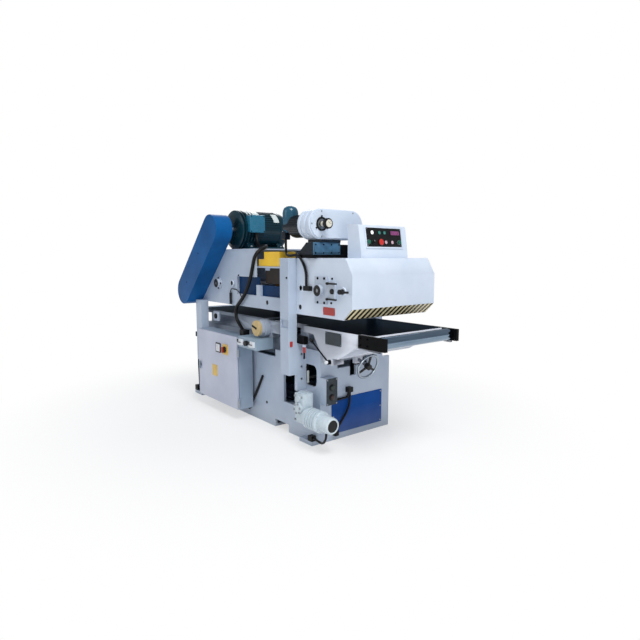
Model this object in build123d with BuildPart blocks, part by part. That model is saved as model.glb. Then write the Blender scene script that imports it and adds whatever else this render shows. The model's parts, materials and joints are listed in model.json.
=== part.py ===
from build123d import *
import os
from math import atan2, cos, hypot, radians, sin, tan

os.makedirs("parts", exist_ok=True)

# Double-sided planer. X runs along the feed towards the infeed end, Y across the machine with the
# operator on the negative side, Z up from the floor. All sizes are in millimetres.

# Clearances
running = 0.05          # shaft in its bearing, on the radius
seat = 0.1              # fixed piece in its pocket
slip = 0.5              # pieces that move past each other
stem_play = 0.3         # button stem in its hole
way_play = 2            # side room of the bed and tables in the frame

# Datums: the table's height and the base's half width place the rest
table_height = 837
base_half = 340
head_bottom = table_height + 83
plate_outer = base_half + 50
plate_thick = 25
plate_inner = plate_outer - plate_thick

# Base and infeed pedestal
base_end = 930          # from the middle to both ends
base_wall = 20
base_top = table_height - 225
base_joint = 592        # where the pedestal meets the base
arch_length = 181
arch_height = 60
bay_length = 83         # open bay between the base and the upper pedestal
base_step = 63          # how far the base's upper part stops short of the pedestal
pedestal_half = base_half - 33
pedestal_ledge = 227
pedestal_top = table_height - 172
pedestal_end_top = table_height - 217
recess_half = 150       # opening of the end wall above the table screw
recess_floor = table_height - 312
screw_slot_half = 30    # slot that the table screw sinks into with the bed
screw_slot_floor = table_height - 382
end_flange_top = table_height - 280
wall_slot_width = 147
wall_slot_height = 156
wall_slot_corner = 40
wall_slot_x = 815
wall_slot_z = table_height - 361
foot_length = 150
foot_half = base_half + 42
foot_thick = 30
anchor_radius = 9
end_panel_near = pedestal_half - 102
end_panel_far = pedestal_half - 7
end_panel_low = 46
end_panel_high = 304
panel_thick = 4

# Columns and head plates
column_width = 102
column_front = plate_outer + 72
infeed_column_x = 719
infeed_column_foot = table_height - 352
outfeed_column_x = -636
outfeed_column_foot = table_height - 457
outfeed_column_lap = 12
outfeed_block_top = base_top - 12
column_window_height = 58
column_window_z = table_height + 14
column_window_depth = 15
column_window_edge = 7
head_top = head_bottom + 389
hood_shoulder_x = 1280
nose_x = 1345
nose_top = head_bottom + 281
nose_bottom = head_bottom + 72
lip_x = 1270
lip_z = head_bottom + 2
hood_sheet = 6
outfeed_plate_end = -940
outfeed_end_top = head_bottom + 220
deck_start = -420
deck_end = 215
deck_z = head_bottom + 449
deck_thick = 12
low_plate_top = head_bottom + 180
panel_windows = (
    (-61, 239, head_bottom + 97, head_bottom + 240),
    (290, 640, head_bottom + 97, low_plate_top),
)
panel_lap = 14
plate_hole_radius = 18
outfeed_plate_hole = (390, head_bottom + 53)
infeed_plate_holes = ((820, head_bottom + 184), (808, head_bottom + 51))
guide_block_start = 673
guide_block_low = table_height - 471
guide_block_top = table_height - 126
gib_hole_radius = 9
gib_hole_depth = 20
gib_hole_pitch = 90
gib_holes = 3
gib_strip = 30          # guide below the column's foot
lock_block_start = 690
lock_block_end = 850
lock_block_top = table_height - 72

# Chip cover over the upper cutterhead
cover_end_low = head_bottom + 80
spigot_radius = 75
spigot_height = 110
spigot_wall = 4

# Pressure shoe with its adjuster case and yellow hood
rail_start = 150
rail_end = 830
rail_width = 20
rail_low = head_bottom + 313
rail_thick = 12
shoe_length = 150
shoe_half = plate_inner - 57
shoe_low = table_height + 77
shoe_height = 60
shoe_post_radius = 18
shoe_post_y = 250
shoe_beam = 60
shoe_beam_height = 32
hood_start = 300
hood_end = 508
hood_top = head_bottom + 435
hood_far_y = -205
hood_step_start = 222
hood_step_top = head_bottom + 380
adjuster_x = (300, 500)
adjuster_far_y = -232
adjuster_low = head_bottom + 195
adjuster_gap = 5

# Cutterheads
cutter_radius = 62
cutter_half = plate_inner - 53
knife_lift = 1
knife_thick = 4
knife_depth = 20
knives = 4
upper_cutter_x = -785
upper_cutter_z = head_bottom + 55
upper_journal = 25
upper_housing = 45
upper_flange = 52
flange_thick = 12
lower_cutter_x = 330
lower_cutter_z = table_height - cutter_radius
lower_journal = 22
lower_housing = 50
lower_neck = 66
lower_neck_length = 48
side_plate_x = (-590, -480)     # flange plates on the outfeed table's edges
side_plate_z = (table_height - 95, table_height - 9)
side_plate_thick = 12
side_boss = 24
side_boss_length = 8
disc_radius = 60
disc_width = 49
disc_gap = 2

# Upper cutter motor and its belt drive
motor_x = -240
motor_z = deck_z + 176
motor_radius = 162
motor_drive_end = 320
motor_fan_end = 176
motor_shaft = 24
motor_shaft_seat = 120
motor_foot_half = 150
motor_foot_start = -250
motor_foot_end = 110
motor_fins = 4
motor_fin_depth = 10
motor_fin_width = 12
motor_fin_pitch = 30
terminal_box_start = -110
terminal_box_end = -40
terminal_box_y = (-265, -120)
terminal_box_z = (motor_z - 28, motor_z + 117)
upper_motor_pulley = 95
upper_cutter_pulley = 59
upper_pulley_near = plate_outer + 110
pulley_width = 70
belt_thick = 10
belt_width = 14
belts = 3
belt_pitch = 21
belt_play = 0.3
guard_radius = 120
guard_front = upper_pulley_near + 40
guard_sheet = 3
guard_top_x = motor_x + 5
guard_top_z = motor_z - 3
guard_low_x = upper_cutter_x + 5
guard_low_z = upper_cutter_z + 37

# Feed drive
feed_shaft_radius = 20
infeed_shaft_x = 1040
infeed_shaft_z = head_bottom + 178
outfeed_shaft_x = -360
outfeed_shaft_z = head_bottom + 172
feed_roller_radius = 43
feed_roller_half = plate_inner - 53
feed_roller_z = head_bottom + 33
feed_journal = 15
outfeed_roller_x = -897
sprocket_radius = 38
sprocket_width = 8
chain_thick = 4
inner_sprocket_y = plate_inner - 37
middle_sprocket_y = plate_inner - 25
bearing_plate_x = (985, 1110)
bearing_plate_z = (head_bottom + 90, head_bottom + 270)
bearing_plate_thick = 12
bearing_boss = 38
bearing_boss_front = plate_outer + 35
clamp_block_end = 1201
clamp_block_z = (head_bottom + 120, head_bottom + 240)
clamp_block_thick = 25
stub_x = 1262
stub_z = head_bottom + 180
stub_radius = 16
stub_front = plate_outer + 38
blank_cover_x = -123
blank_cover_z = head_bottom + 181
blank_cover_radius = 28
far_flange = 48

# Variable feed drive on the hood
drive_plate_x = (790, 1000)
drive_plate_y = (-plate_outer, -50)
drive_lip_x = (890, 1000)
drive_lip_near = -plate_outer - 40
drive_plate_thick = 22
gearbox_x = (780, 950)
gearbox_y = (-plate_outer + 7, -144)
gearbox_height = 83
gearbox_slope = 90
gearbox_toe = 12
gear_block_x = (884, 944)
gear_block_end = -60
gear_block_height = 70
variator_x = (820, 960)
variator_y = (-320, -40)
variator_z = head_top + 226
variator_radius = 102
variator_step = 8
variator_step_width = 28
variator_saddle_y = (-330, -150)
feed_motor_y = -312
feed_motor_z = head_top + 221
feed_motor_radius = 80
feed_motor_end = 515
feed_motor_cowl = 60
feed_motor_cowl_radius = 72
feed_dome_x = 585        # domed terminal cover on the feed motor
feed_dome_radius = 57
feed_dome_top = head_top + 371
feed_dome_round = 40
feed_terminal_x = (552, 600)
feed_terminal_y = (-368, -318)
feed_terminal_low = head_top + 131
knob_radius = 35
knob_start = 966
knob_end = 1040
knob_stem = 14
knob_stem_depth = 40
knob_head = 32
knob_neck = 18
knob_ring = 47
knob_ring_inner = 34
knob_ring_thick = 5

# Console
console_back = 1112
console_front = 1240
console_half = 222
console_skirt = head_top + 36
console_desk = (1213, head_top + 203)
console_brow = (1202, head_top + 215)
console_top = head_top + 221
console_sheet = 4
panel_width = 326
panel_height = 125
panel_rise = 99          # panel centre above the skirt, along Z
lamp_radius = 15
lamp_height = 5
white_lamp_radius = 16
display_size = (95, 38)
button_radius = 14
button_stem = 7
button_travel = 4
button_cap = 8
stop_radius = 21
selector_radius = 14
upper_row = 31
lower_row = -32
white_lamp_y = -111
upper_lamps_y = (-44, 4)
display_y = 104
lower_lamps_y = (11, 72)
left_button_y = -150
selector_y = -108
stop_y = -38
right_button_y = 138

# Bed
bed_out = -880
bed_in = 880
bed_half = base_half - 60
bed_low = table_height - 277
bed_top = table_height - 137
bed_wall = 25
shoulder_x = (180, 400)
shoulder_top = table_height - 97
cheek_inner = base_half - 8
cheek_thick = 24
cheek_top = table_height - 4
cheek_start = -163
cheek_toe = 20
cheek_end = 560
nut_plate_half = 100
motor_plate_half = 110
table_plate = 30
table_half = base_half + 10
apron = 25
outfeed_table_end = -930
outfeed_half = base_half - 10
cutter_mouth = 75
rib_y = 200
rib_start = -850
rib_end = 100
bed_roller_x = -885
bed_roller_radius = 26
bed_roller_lift = 0.5
bed_roller_journal = 10
bed_roller_half = outfeed_half - 30

# Infeed table
table_slope = 20         # degrees of the inclined ways
inner_half = cheek_inner - 4
notch_start = 640
apron_start = 797
notch_half = pedestal_half - 4
table_end = 1361
tongue_end = 1470
apron_toe_z = table_height - 42
apron_knee = (905, table_height - 49)
apron_low = (1000, table_height - 191)
apron_heel = (1165, table_height - 187)
apron_end_z = table_height - 80
end_wall_thick = 20
way_y = (150, 200)
ways = ((560, 660), (760, 870))
way_mid_z = table_height - 84
boss_x = (1010, 1110)
boss_z = (table_height - 237, table_height - 185)
boss_inner = table_half - 100
nut_bracket_x = (965, 995)
nut_bracket_half = 35
nut_bracket_low = table_height - 282
arm_end = 1590
arm_inner = table_half - 20
tongue_half = arm_inner - 4
arm_thick = 25
lip_end = 1540
lip_thick = 13
end_roller_x = 1520
end_roller_radius = 40
end_roller_gap = 6
end_roller_axle = 12

# Handwheel
wheel_x = 1088
wheel_z = table_height - 292
wheel_radius = 90
wheel_rim = 9
wheel_hub = 22
wheel_hub_length = 36
wheel_spoke = 8
wheel_spokes = 3
table_screw = 12
table_screw_inner_x = 848

# Lock lever
lever_pivot_x = 1085
lever_pivot_z = table_height - 215
lever_tip_x = 914
lever_tip_z = table_height - 97
lever_hub = 16
lever_rod = 5
lever_pin = 8
lever_reach = 20
lever_knob = 11
lever_handle = 24

# Lift
screw_x = (-600, 700)
screw_radius = 16
screw_top = table_height - 197
screw_foot_gap = 0.3
thrust_radius = 35
thrust_height = 40
lift_sprocket = 50
lift_sprocket_z = 70
lift_sprocket_width = 12
nut_flange = 34
nut_flange_thick = 14
nut_body = 26
nut_length = 30
screw_room = 4
lift_up = 65
lift_down = 125
gear_case_x = (790, 905)
gear_case_y = (-base_half - 97, -base_half)
gear_case_z = (152, 377)
gear_cover_radius = 44
gear_cover_height = 14
lift_motor_y = -base_half - 62
lift_motor_z = 212
lift_motor_radius = 75
lift_motor_gap = 5
lift_motor_fins = 4
lift_motor_neck = 1075
lift_motor_end = 1180
lift_motor_cowl = 60
lift_motor_fin_pitch = 26
drive_tube_x = 825
drive_tube_z = 178
drive_tube_radius = 25
bevel_box_half = 60
bevel_box_height = 90

# Lower cutter motor and its drive
lower_motor_z = table_height - 437
lower_motor_radius = 105
lower_motor_half = 150
lower_motor_shaft = 19
lower_motor_seat = 90
lower_motor_foot = 90
lower_motor_pulley = 78
lower_cutter_pulley = 50
lower_pulley_y = base_half + 60
lower_pulley_width = 50
lower_belt_width = 11
lower_belt_pitch = 15
lower_guard_y = (base_half + 44, base_half + 126)
lower_guard_room = 14
guard_stud = 8
guard_stud_dx = 58
guard_stud_dz = 27
shaft_room = 28

# Clamp box under the lower cutterhead
clamp_box_x = (140, 400)
clamp_box_front = base_half + 160
clamp_box_z = (bed_top - 85, bed_top)
clamp_box_gap = 5
clamp_flange_x = (150, 255)
clamp_flange_top = table_height - 37
clamp_flange_thick = 16
clamp_knob_radius = 20
clamp_knob_length = 24
clamp_pad_width = 60
clamp_pad_pitch = 84
clamp_pad_height = 44
clamp_pad_thick = 22

# Electrical cabinet
cabinet_x = (-570, 118)
cabinet_front = base_half + 165
cabinet_back = base_half + 22
cabinet_rail = 40
cabinet_rail_inset = 140
cabinet_z = (92, 683)
cabinet_sheet = 5
door_thick = 17
door_edge_gap = 6
hinge_x = 126
hinge_y = -cabinet_front + 8
hinge_pin = 5
hinge_knuckle = 9
hinge_length = 56
hinge_ear = 14
hinge_heights = (142, 556)
switch_x = -68
switch_z = 561
switch_plate = 85
switch_plate_thick = 8
meter_x = -189
meter_plate = 80
meter_thick = 6
switch_knob = 26
switch_knob_length = 30
latch_x = -531
latch_z = 363
latch_radius = 14
latch_lever = (22, 74)
spindle = 6
spindle_length = 20

# Push-button station on the pedestal's end
station_depth = 67
station_y = (-pedestal_half, -pedestal_half + 100)
station_z = (290, 480)
station_button_radius = 17
station_button_z = (345, 415)

# Conduits, with the corners of their routes
motor_conduit = 28
head_conduit = 18
small_conduit = 16
bend_share = 0.45        # part of a straight leg that one bend may take up
motor_conduit_drop = deck_z + 31
motor_conduit_y = -plate_outer - 22
motor_conduit_inset = 10
motor_conduit_edge = (245, -285, deck_z + 33)
motor_conduit_bends = (
    (268, head_bottom + 430),
    (183, head_bottom + 212),
    (100, head_bottom + 95),
    (-105, table_height + 21),
)
cabinet_gland_x = (54, 114)
cabinet_gland_y = (motor_conduit_y - 28, motor_conduit_y + 28)
cabinet_gland_height = 52
head_conduit_y = -plate_outer - 12
head_conduit_drop = head_top + 31
head_conduit_bends = ((690, head_top + 14), (805, head_top + 23), (860, head_top - 29), (896, head_top - 94))
switch_box_x = (880, 945)
switch_box_front = plate_outer + 28
switch_box_z = (head_bottom + 170, head_bottom + 202)
gland_x = 36             # how far the cable gland stands out of the pedestal's end
gland_y = (-72, -28)
gland_z = (340, 376)
station_cable_z = 302
panel_cable_bends = ((-46, 225), (-150, 110))
panel_cable_end = (-180, 66)
low_gland_y = (-196, -164)
low_gland_z = (40, 80)
loop_cable_x = 1110
loop_cable_z = 55
foot_box_x = (880, 925)
foot_box_y = (-foot_half, -base_half - 4)
foot_box_height = 38
wall_conduit = 20
wall_conduit_bends = ((250, 376), (168, 242), (38, 60))
end_cable = 12
end_cable_bends = ((-915, 560), (-893, 450), (-920, 320), (-905, 60))
end_clip_x = (-926, -904)
end_clip_z = (556, 600)
end_box_x = (-930, -882)
end_box_height = 48
sensor_x = -150
sensor_z = (head_bottom + 5, head_bottom + 100)
sensor_radius = 10
sensor_y = -plate_outer - 12
sensor_cable = 8
sensor_cable_bends = ((-150, head_bottom + 136), (-15, head_bottom + 130))
sensor_cable_end = (58, motor_conduit_y, head_bottom + 63)

slope_run = cos(radians(table_slope))
slope_fall = sin(radians(table_slope))
hood_outline = (
    (infeed_column_x, head_top),
    (hood_shoulder_x, head_top),
    (nose_x, nose_top),
    (nose_x, nose_bottom),
    (lip_x, lip_z),
)


def mirrored(inner, outer):
    """The two Y spans that lie between these distances from the centre plane."""
    return (-outer, -inner), (inner, outer)


def around(middle, half):
    """The span of this half width about a middle."""
    return middle - half, middle + half


def block(x, y, z, mode=Mode.ADD):
    """Box between (low, high) pairs."""
    with Locations(((x[0] + x[1]) / 2, (y[0] + y[1]) / 2, (z[0] + z[1]) / 2)):
        Box(x[1] - x[0], y[1] - y[0], z[1] - z[0], mode=mode)


def bar_x(y, z, radius, x, mode=Mode.ADD):
    """Round bar along the feed."""
    with Locations(Location(((x[0] + x[1]) / 2, y, z), (0, 90, 0))):
        Cylinder(radius, x[1] - x[0], mode=mode)


def bar_y(x, z, radius, y, mode=Mode.ADD):
    """Round bar across the machine."""
    with Locations(Location((x, (y[0] + y[1]) / 2, z), (90, 0, 0))):
        Cylinder(radius, y[1] - y[0], mode=mode)


def bar_z(x, y, radius, z, mode=Mode.ADD):
    """Upright round bar."""
    with Locations((x, y, (z[0] + z[1]) / 2)):
        Cylinder(radius, z[1] - z[0], mode=mode)


def prism(points, y, mode=Mode.ADD):
    """Outline in X and Z drawn out across the machine."""
    with BuildSketch(Plane.XZ.offset(-y[1])) as outline:
        Polygon(*points)
    extrude(outline.sketch, amount=y[1] - y[0], mode=mode)


def loop(first, second, radii, y, mode=Mode.ADD):
    """Belt outline round two wheels whose axes lie across the machine."""
    with BuildSketch(Plane.XZ.offset(-y[1])) as outline:
        for centre, radius in zip((first, second), radii):
            with Locations(centre):
                Circle(radius)
        make_hull()
    extrude(outline.sketch, amount=y[1] - y[0], mode=mode)


def band(first, second, radii, thick, y):
    """Belt or chain of this thickness round two wheels."""
    loop(first, second, [radius + thick for radius in radii], y)
    loop(first, second, radii, y, Mode.SUBTRACT)


def inset(points, distance):
    """Open outline moved to its right-hand side, with mitred corners."""
    lines = []
    for (x0, z0), (x1, z1) in zip(points, points[1:]):
        length = hypot(x1 - x0, z1 - z0)
        step = ((z1 - z0) / length * distance, (x0 - x1) / length * distance)
        lines.append(((x0 + step[0], z0 + step[1]), (x1 + step[0], z1 + step[1])))
    moved = [lines[0][0]]
    for ((ax, az), (bx, bz)), ((cx, cz), (dx, dz)) in zip(lines, lines[1:]):
        turn = (bx - ax) * (dz - cz) - (bz - az) * (dx - cx)
        share = ((cx - ax) * (dz - cz) - (cz - az) * (dx - cx)) / turn
        moved.append((ax + share * (bx - ax), az + share * (bz - az)))
    return moved + [lines[-1][1]]


def keep(piece, name):
    """Name a finished piece and write it."""
    piece.part.label = name
    export_step(piece.part, f"parts/{name}.step")


# Base frame: open tub with an arch at the floor and the outfeed foot
anchor_x = base_end - foot_length / 2
anchor_y = (foot_half + base_half) / 2
base_inner = base_half - base_wall
shaft_slot = lower_motor_shaft + shaft_room

with BuildPart() as base_frame:
    block((-base_end, base_joint), (-base_half, base_half), (0, base_top))
    block((-base_end + base_wall, base_joint - base_wall), (-base_inner, base_inner), (base_wall, base_top),
          Mode.SUBTRACT)
    block((base_joint - base_wall, base_joint), (-base_inner + base_wall, base_inner - base_wall),
          (arch_height, base_top), Mode.SUBTRACT)
    block((base_joint - base_step, base_joint), (-base_half, base_half), (pedestal_ledge, base_top),
          Mode.SUBTRACT)
    block((base_joint - arch_length, base_joint), (-base_half, base_half), (0, arch_height), Mode.SUBTRACT)
    for y in mirrored(base_inner, base_half):
        block((shoulder_x[0] - base_wall, shoulder_x[1] + base_wall), y,
              (bed_top - lift_down - base_wall, base_top), Mode.SUBTRACT)
    block(around(lower_cutter_x, shaft_slot), (base_inner, base_half),
          (lower_motor_z - lift_down - shaft_slot, lower_motor_z + lift_up + shaft_slot), Mode.SUBTRACT)
    block((-base_end, -base_end + foot_length), (-foot_half, foot_half), (0, foot_thick))
    for y in (-anchor_y, anchor_y):
        bar_z(-anchor_x, y, anchor_radius, (0, foot_thick), Mode.SUBTRACT)
    bar_z(screw_x[0], 0, thrust_radius, (base_wall, base_wall + thrust_height))
    bar_z(screw_x[0], 0, screw_radius + running, (base_wall, base_wall + thrust_height), Mode.SUBTRACT)

# Infeed pedestal: low hollow step and an upper part whose end wall is open for the table screw
pedestal_start = base_joint + bay_length
pedestal_inner = pedestal_half - base_wall
ledge_under = pedestal_ledge - base_wall
station_x = (base_end, base_end + station_depth)
station_mid_y = (station_y[0] + station_y[1]) / 2

with BuildPart() as infeed_pedestal:
    block((base_joint, base_end), (-base_half, base_half), (0, pedestal_ledge))
    block((pedestal_start, base_end), (-pedestal_half, pedestal_half), (pedestal_ledge, pedestal_top))
    block((base_joint, base_end - base_wall), (-base_inner, base_inner), (base_wall, ledge_under),
          Mode.SUBTRACT)
    block((base_joint, base_end - base_wall), (-pedestal_inner, pedestal_inner), (ledge_under, pedestal_top),
          Mode.SUBTRACT)
    block((base_end - base_wall, base_end), (-pedestal_inner, pedestal_inner),
          (pedestal_end_top, pedestal_top), Mode.SUBTRACT)
    for half, floor in ((recess_half, recess_floor), (screw_slot_half, screw_slot_floor)):
        block((base_end - base_wall, base_end), (-half, half), (floor, pedestal_top), Mode.SUBTRACT)
    block((base_end - base_wall, base_end), (pedestal_inner, foot_half), (0, end_flange_top))
    with BuildSketch(Plane.XZ.offset(pedestal_inner)) as wall_slot:
        with Locations((wall_slot_x, wall_slot_z)):
            RectangleRounded(wall_slot_width, wall_slot_height, wall_slot_corner)
    extrude(amount=base_wall, mode=Mode.SUBTRACT)
    bar_y(drive_tube_x, drive_tube_z, drive_tube_radius + seat, (-base_half, -base_inner), Mode.SUBTRACT)
    block((base_end - foot_length, base_end), (-foot_half, foot_half), (0, foot_thick))
    for y in (-anchor_y, anchor_y):
        bar_z(anchor_x, y, anchor_radius, (0, foot_thick), Mode.SUBTRACT)
    bar_z(screw_x[1], 0, thrust_radius, (base_wall, base_wall + thrust_height))
    bar_z(screw_x[1], 0, screw_radius + running, (base_wall, base_wall + thrust_height), Mode.SUBTRACT)

# Columns: two tall ones at the infeed head, two short ones under the outfeed head
with BuildPart() as columns:
    tall_x = around(infeed_column_x, column_width / 2)
    window_x = around(infeed_column_x, column_width / 2 - column_window_edge)
    window_z = around(column_window_z, column_window_height / 2)
    for y in mirrored(plate_outer, column_front):
        block(tall_x, y, (infeed_column_foot, head_top))
    for y in mirrored(column_front - column_window_depth, column_front):
        block(window_x, y, window_z, Mode.SUBTRACT)
    short_x = around(outfeed_column_x, column_width / 2)
    for y in mirrored(plate_outer, column_front):
        block(short_x, y, (outfeed_column_foot, head_bottom + outfeed_column_lap))

# Guide blocks that tie the tall columns to the pedestal, with gib screw holes in their end faces,
# the spacers behind the short columns, and the lock block on the near guide
with BuildPart() as guide_blocks:
    guide_x = (guide_block_start, tall_x[1])
    guide_mid_y = (pedestal_half + plate_outer) / 2
    guide_mid_z = (guide_block_low + guide_block_top) / 2
    for y in mirrored(pedestal_half, plate_outer):
        block(guide_x, y, (infeed_column_foot, guide_block_top))
        block((guide_x[1] - gib_strip, guide_x[1]), y, (guide_block_low, infeed_column_foot))
    for y in mirrored(base_half, plate_outer):
        block(short_x, y, (outfeed_column_foot, outfeed_block_top))
    for side in (-guide_mid_y, guide_mid_y):
        for step in range(gib_holes):
            z = guide_mid_z + (step - (gib_holes - 1) / 2) * gib_hole_pitch
            bar_x(side, z, gib_hole_radius, (guide_x[1] - gib_hole_depth, guide_x[1]), Mode.SUBTRACT)
    block((lock_block_start, lock_block_end), (-plate_outer + way_play, -table_half - way_play),
          (guide_block_top + seat, lock_block_top))

# Head side plates
hood_inside = inset(hood_outline, hood_sheet)
infeed_plate_outline = hood_inside + [(hood_inside[-1][0], head_bottom), (infeed_column_x, head_bottom)]
outfeed_plate_outline = (
    (outfeed_plate_end, head_bottom),
    (infeed_column_x, head_bottom),
    (infeed_column_x, low_plate_top),
    (deck_end, low_plate_top),
    (deck_end, deck_z),
    (deck_start, deck_z),
    (outfeed_plate_end, outfeed_end_top),
)
shaft_hole = feed_shaft_radius + screw_room

with BuildPart() as infeed_side_plates:
    for y in mirrored(plate_inner, plate_outer):
        prism(infeed_plate_outline, y)
        bar_y(infeed_shaft_x, infeed_shaft_z, shaft_hole, y, Mode.SUBTRACT)
        bar_y(infeed_shaft_x, feed_roller_z, feed_journal + running, y, Mode.SUBTRACT)
        for x, z in infeed_plate_holes:
            bar_y(x, z, plate_hole_radius, y, Mode.SUBTRACT)

with BuildPart() as outfeed_side_plates:
    for y in mirrored(plate_inner, plate_outer):
        prism(outfeed_plate_outline, y)
        for x0, x1, z0, z1 in panel_windows:
            block((x0, x1), y, (z0, z1), Mode.SUBTRACT)
        bar_y(outfeed_shaft_x, outfeed_shaft_z, shaft_hole, y, Mode.SUBTRACT)
        bar_y(outfeed_roller_x, feed_roller_z, feed_journal + running, y, Mode.SUBTRACT)
        bar_y(upper_cutter_x, upper_cutter_z, upper_housing + seat, y, Mode.SUBTRACT)
        bar_y(*outfeed_plate_hole, plate_hole_radius, y, Mode.SUBTRACT)

# Blue panels: behind the outfeed plate's windows and on the pedestal's end
with BuildPart() as blue_panels:
    for y in mirrored(plate_inner - panel_thick, plate_inner):
        for x0, x1, z0, z1 in panel_windows:
            block((x0 - panel_lap, x1 + panel_lap), y, (z0 - panel_lap, z1))
    block((base_end, base_end + panel_thick), (-end_panel_near, end_panel_far),
          (end_panel_low, end_panel_high))

# Hood of the infeed head and its striped lower lip
with BuildPart() as infeed_hood:
    prism(list(hood_outline[:4]) + hood_inside[3::-1], (-plate_outer, plate_outer))

with BuildPart() as stripe_lip:
    prism((hood_outline[3], hood_outline[4], hood_inside[4], hood_inside[3]), (-plate_outer, plate_outer))

# Deck of the outfeed head and the sloping chip cover with its extraction spigot
slope_x = deck_start - outfeed_plate_end
slope_z = deck_z - outfeed_end_top
slope_length = hypot(slope_x, slope_z)
cover_end_top = outfeed_end_top + hood_sheet * (1 - slope_z / slope_x)
spigot_axis = (-slope_z / slope_length, 0, slope_x / slope_length)
spigot_plane = Plane(
    origin=((deck_start + outfeed_plate_end) / 2, 0, (deck_z + outfeed_end_top) / 2),
    z_dir=spigot_axis,
)

with BuildPart() as head_deck:
    block((deck_start, deck_end), (-plate_outer, plate_outer), (deck_z, deck_z + deck_thick))
    prism(
        (
            (deck_start, deck_z),
            (deck_start, deck_z + hood_sheet),
            (outfeed_plate_end - hood_sheet, cover_end_top),
            (outfeed_plate_end - hood_sheet, cover_end_low),
            (outfeed_plate_end, cover_end_low),
            (outfeed_plate_end, outfeed_end_top),
        ),
        (-plate_outer, plate_outer),
    )
    with BuildSketch(spigot_plane) as spigot_ring:
        Circle(spigot_radius)
    extrude(amount=spigot_height)
    with BuildSketch(spigot_plane) as spigot_bore:
        Circle(spigot_radius - spigot_wall)
    extrude(amount=spigot_height, both=True, mode=Mode.SUBTRACT)

# Pressure shoe over the lower cutterhead, hung from two rails, its adjuster case and the hood above it
rail_top = rail_low + rail_thick

with BuildPart() as pressure_frame:
    for y in mirrored(plate_inner - rail_width, plate_inner):
        block((rail_start, rail_end), y, (rail_low, rail_top))
    block(around(lower_cutter_x, shoe_beam / 2), (-plate_inner + rail_width, plate_inner - rail_width),
          (rail_top - shoe_beam_height, rail_top))
    for y in (-shoe_post_y, shoe_post_y):
        bar_z(lower_cutter_x, y, shoe_post_radius, (shoe_low + shoe_height, rail_top - shoe_beam_height))
    block(around(lower_cutter_x, shoe_length / 2), (-shoe_half, shoe_half),
          (shoe_low, shoe_low + shoe_height))
    block(adjuster_x, (-plate_inner + rail_width + adjuster_gap, adjuster_far_y), (adjuster_low, rail_top))

hood_y = (-plate_inner + rail_width / 2, hood_far_y)

with BuildPart() as pressure_hood:
    block((hood_start, hood_end), hood_y, (rail_top, hood_top))
    block((hood_step_start, hood_start), hood_y, (rail_top, hood_step_top))
    block((hood_start + hood_sheet, hood_end - hood_sheet), (hood_y[0] + hood_sheet, hood_y[1] - hood_sheet),
          (rail_top, hood_top - hood_sheet), Mode.SUBTRACT)


# Cutterheads: solid body with inserted knives, journals and pulley
def cutter_body(x, z, journal, near_end, far_end):
    """Cutterhead body with its slots, its shaft and its knives."""
    tip = cutter_radius + knife_lift
    middle = tip - knife_depth / 2
    bar_y(x, z, cutter_radius, (-cutter_half, cutter_half))
    bar_y(x, z, journal, (near_end, far_end))
    for turn in range(knives):
        angle = 360 / knives * turn + 45
        place = Location(
            (x + middle * sin(radians(angle)), 0, z + middle * cos(radians(angle))), (0, angle, 0))
        with Locations(place):
            Box(knife_thick + 2 * seat, 2 * cutter_half, knife_depth + 2 * seat, mode=Mode.SUBTRACT)
        with Locations(place):
            Box(knife_thick, 2 * cutter_half, knife_depth)


near_pulley_y = (-upper_pulley_near, -upper_pulley_near + pulley_width)
lower_pulley_span = (lower_pulley_y, lower_pulley_y + lower_pulley_width)
cheek_outer = cheek_inner + cheek_thick
neck_front = cheek_outer + lower_neck_length
disc_y = (-neck_front - disc_gap - disc_width, -neck_front - disc_gap)

with BuildPart() as upper_cutterhead:
    cutter_body(upper_cutter_x, upper_cutter_z, upper_journal, near_pulley_y[0], plate_outer)
    bar_y(upper_cutter_x, upper_cutter_z, upper_cutter_pulley, near_pulley_y)

with BuildPart() as lower_cutterhead:
    cutter_body(lower_cutter_x, lower_cutter_z, lower_journal, disc_y[0], lower_pulley_span[1])
    bar_y(lower_cutter_x, lower_cutter_z, disc_radius, disc_y)
    bar_y(lower_cutter_x, lower_cutter_z, lower_cutter_pulley, lower_pulley_span)

with BuildPart() as lower_bearings:
    for y in mirrored(cheek_inner, cheek_outer):
        bar_y(lower_cutter_x, lower_cutter_z, lower_housing, y)
    bar_y(lower_cutter_x, lower_cutter_z, lower_neck, (-neck_front, -cheek_outer))
    bar_y(lower_cutter_x, lower_cutter_z, lower_journal + running, (-neck_front, cheek_outer), Mode.SUBTRACT)
    side_boss_out = outfeed_half + side_plate_thick + side_boss_length
    for y in mirrored(outfeed_half, outfeed_half + side_plate_thick):
        block(side_plate_x, y, side_plate_z)
    for y in mirrored(outfeed_half, side_boss_out):
        bar_y(sum(side_plate_x) / 2, sum(side_plate_z) / 2, side_boss, y)

# Upper cutter motor on the deck
with BuildPart() as cutter_motor:
    bar_y(motor_x, motor_z, motor_radius, (-motor_drive_end, motor_fan_end))
    for step in range(motor_fins):
        start = -motor_drive_end + motor_fin_width + step * motor_fin_pitch
        groove = (start, start + motor_fin_width)
        bar_y(motor_x, motor_z, motor_radius, groove, Mode.SUBTRACT)
        bar_y(motor_x, motor_z, motor_radius - motor_fin_depth, groove)
    block(around(motor_x, motor_foot_half), (motor_foot_start, motor_foot_end),
          (deck_z + deck_thick, motor_z - motor_radius / 2))
    bar_y(motor_x, motor_z, motor_radius - motor_fin_depth, (motor_foot_start, motor_foot_end))
    block((motor_x, terminal_box_end), terminal_box_y, terminal_box_z)
    bar_y(motor_x, motor_z, motor_shaft + running,
          (-motor_drive_end, -motor_drive_end + motor_shaft_seat), Mode.SUBTRACT)

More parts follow.
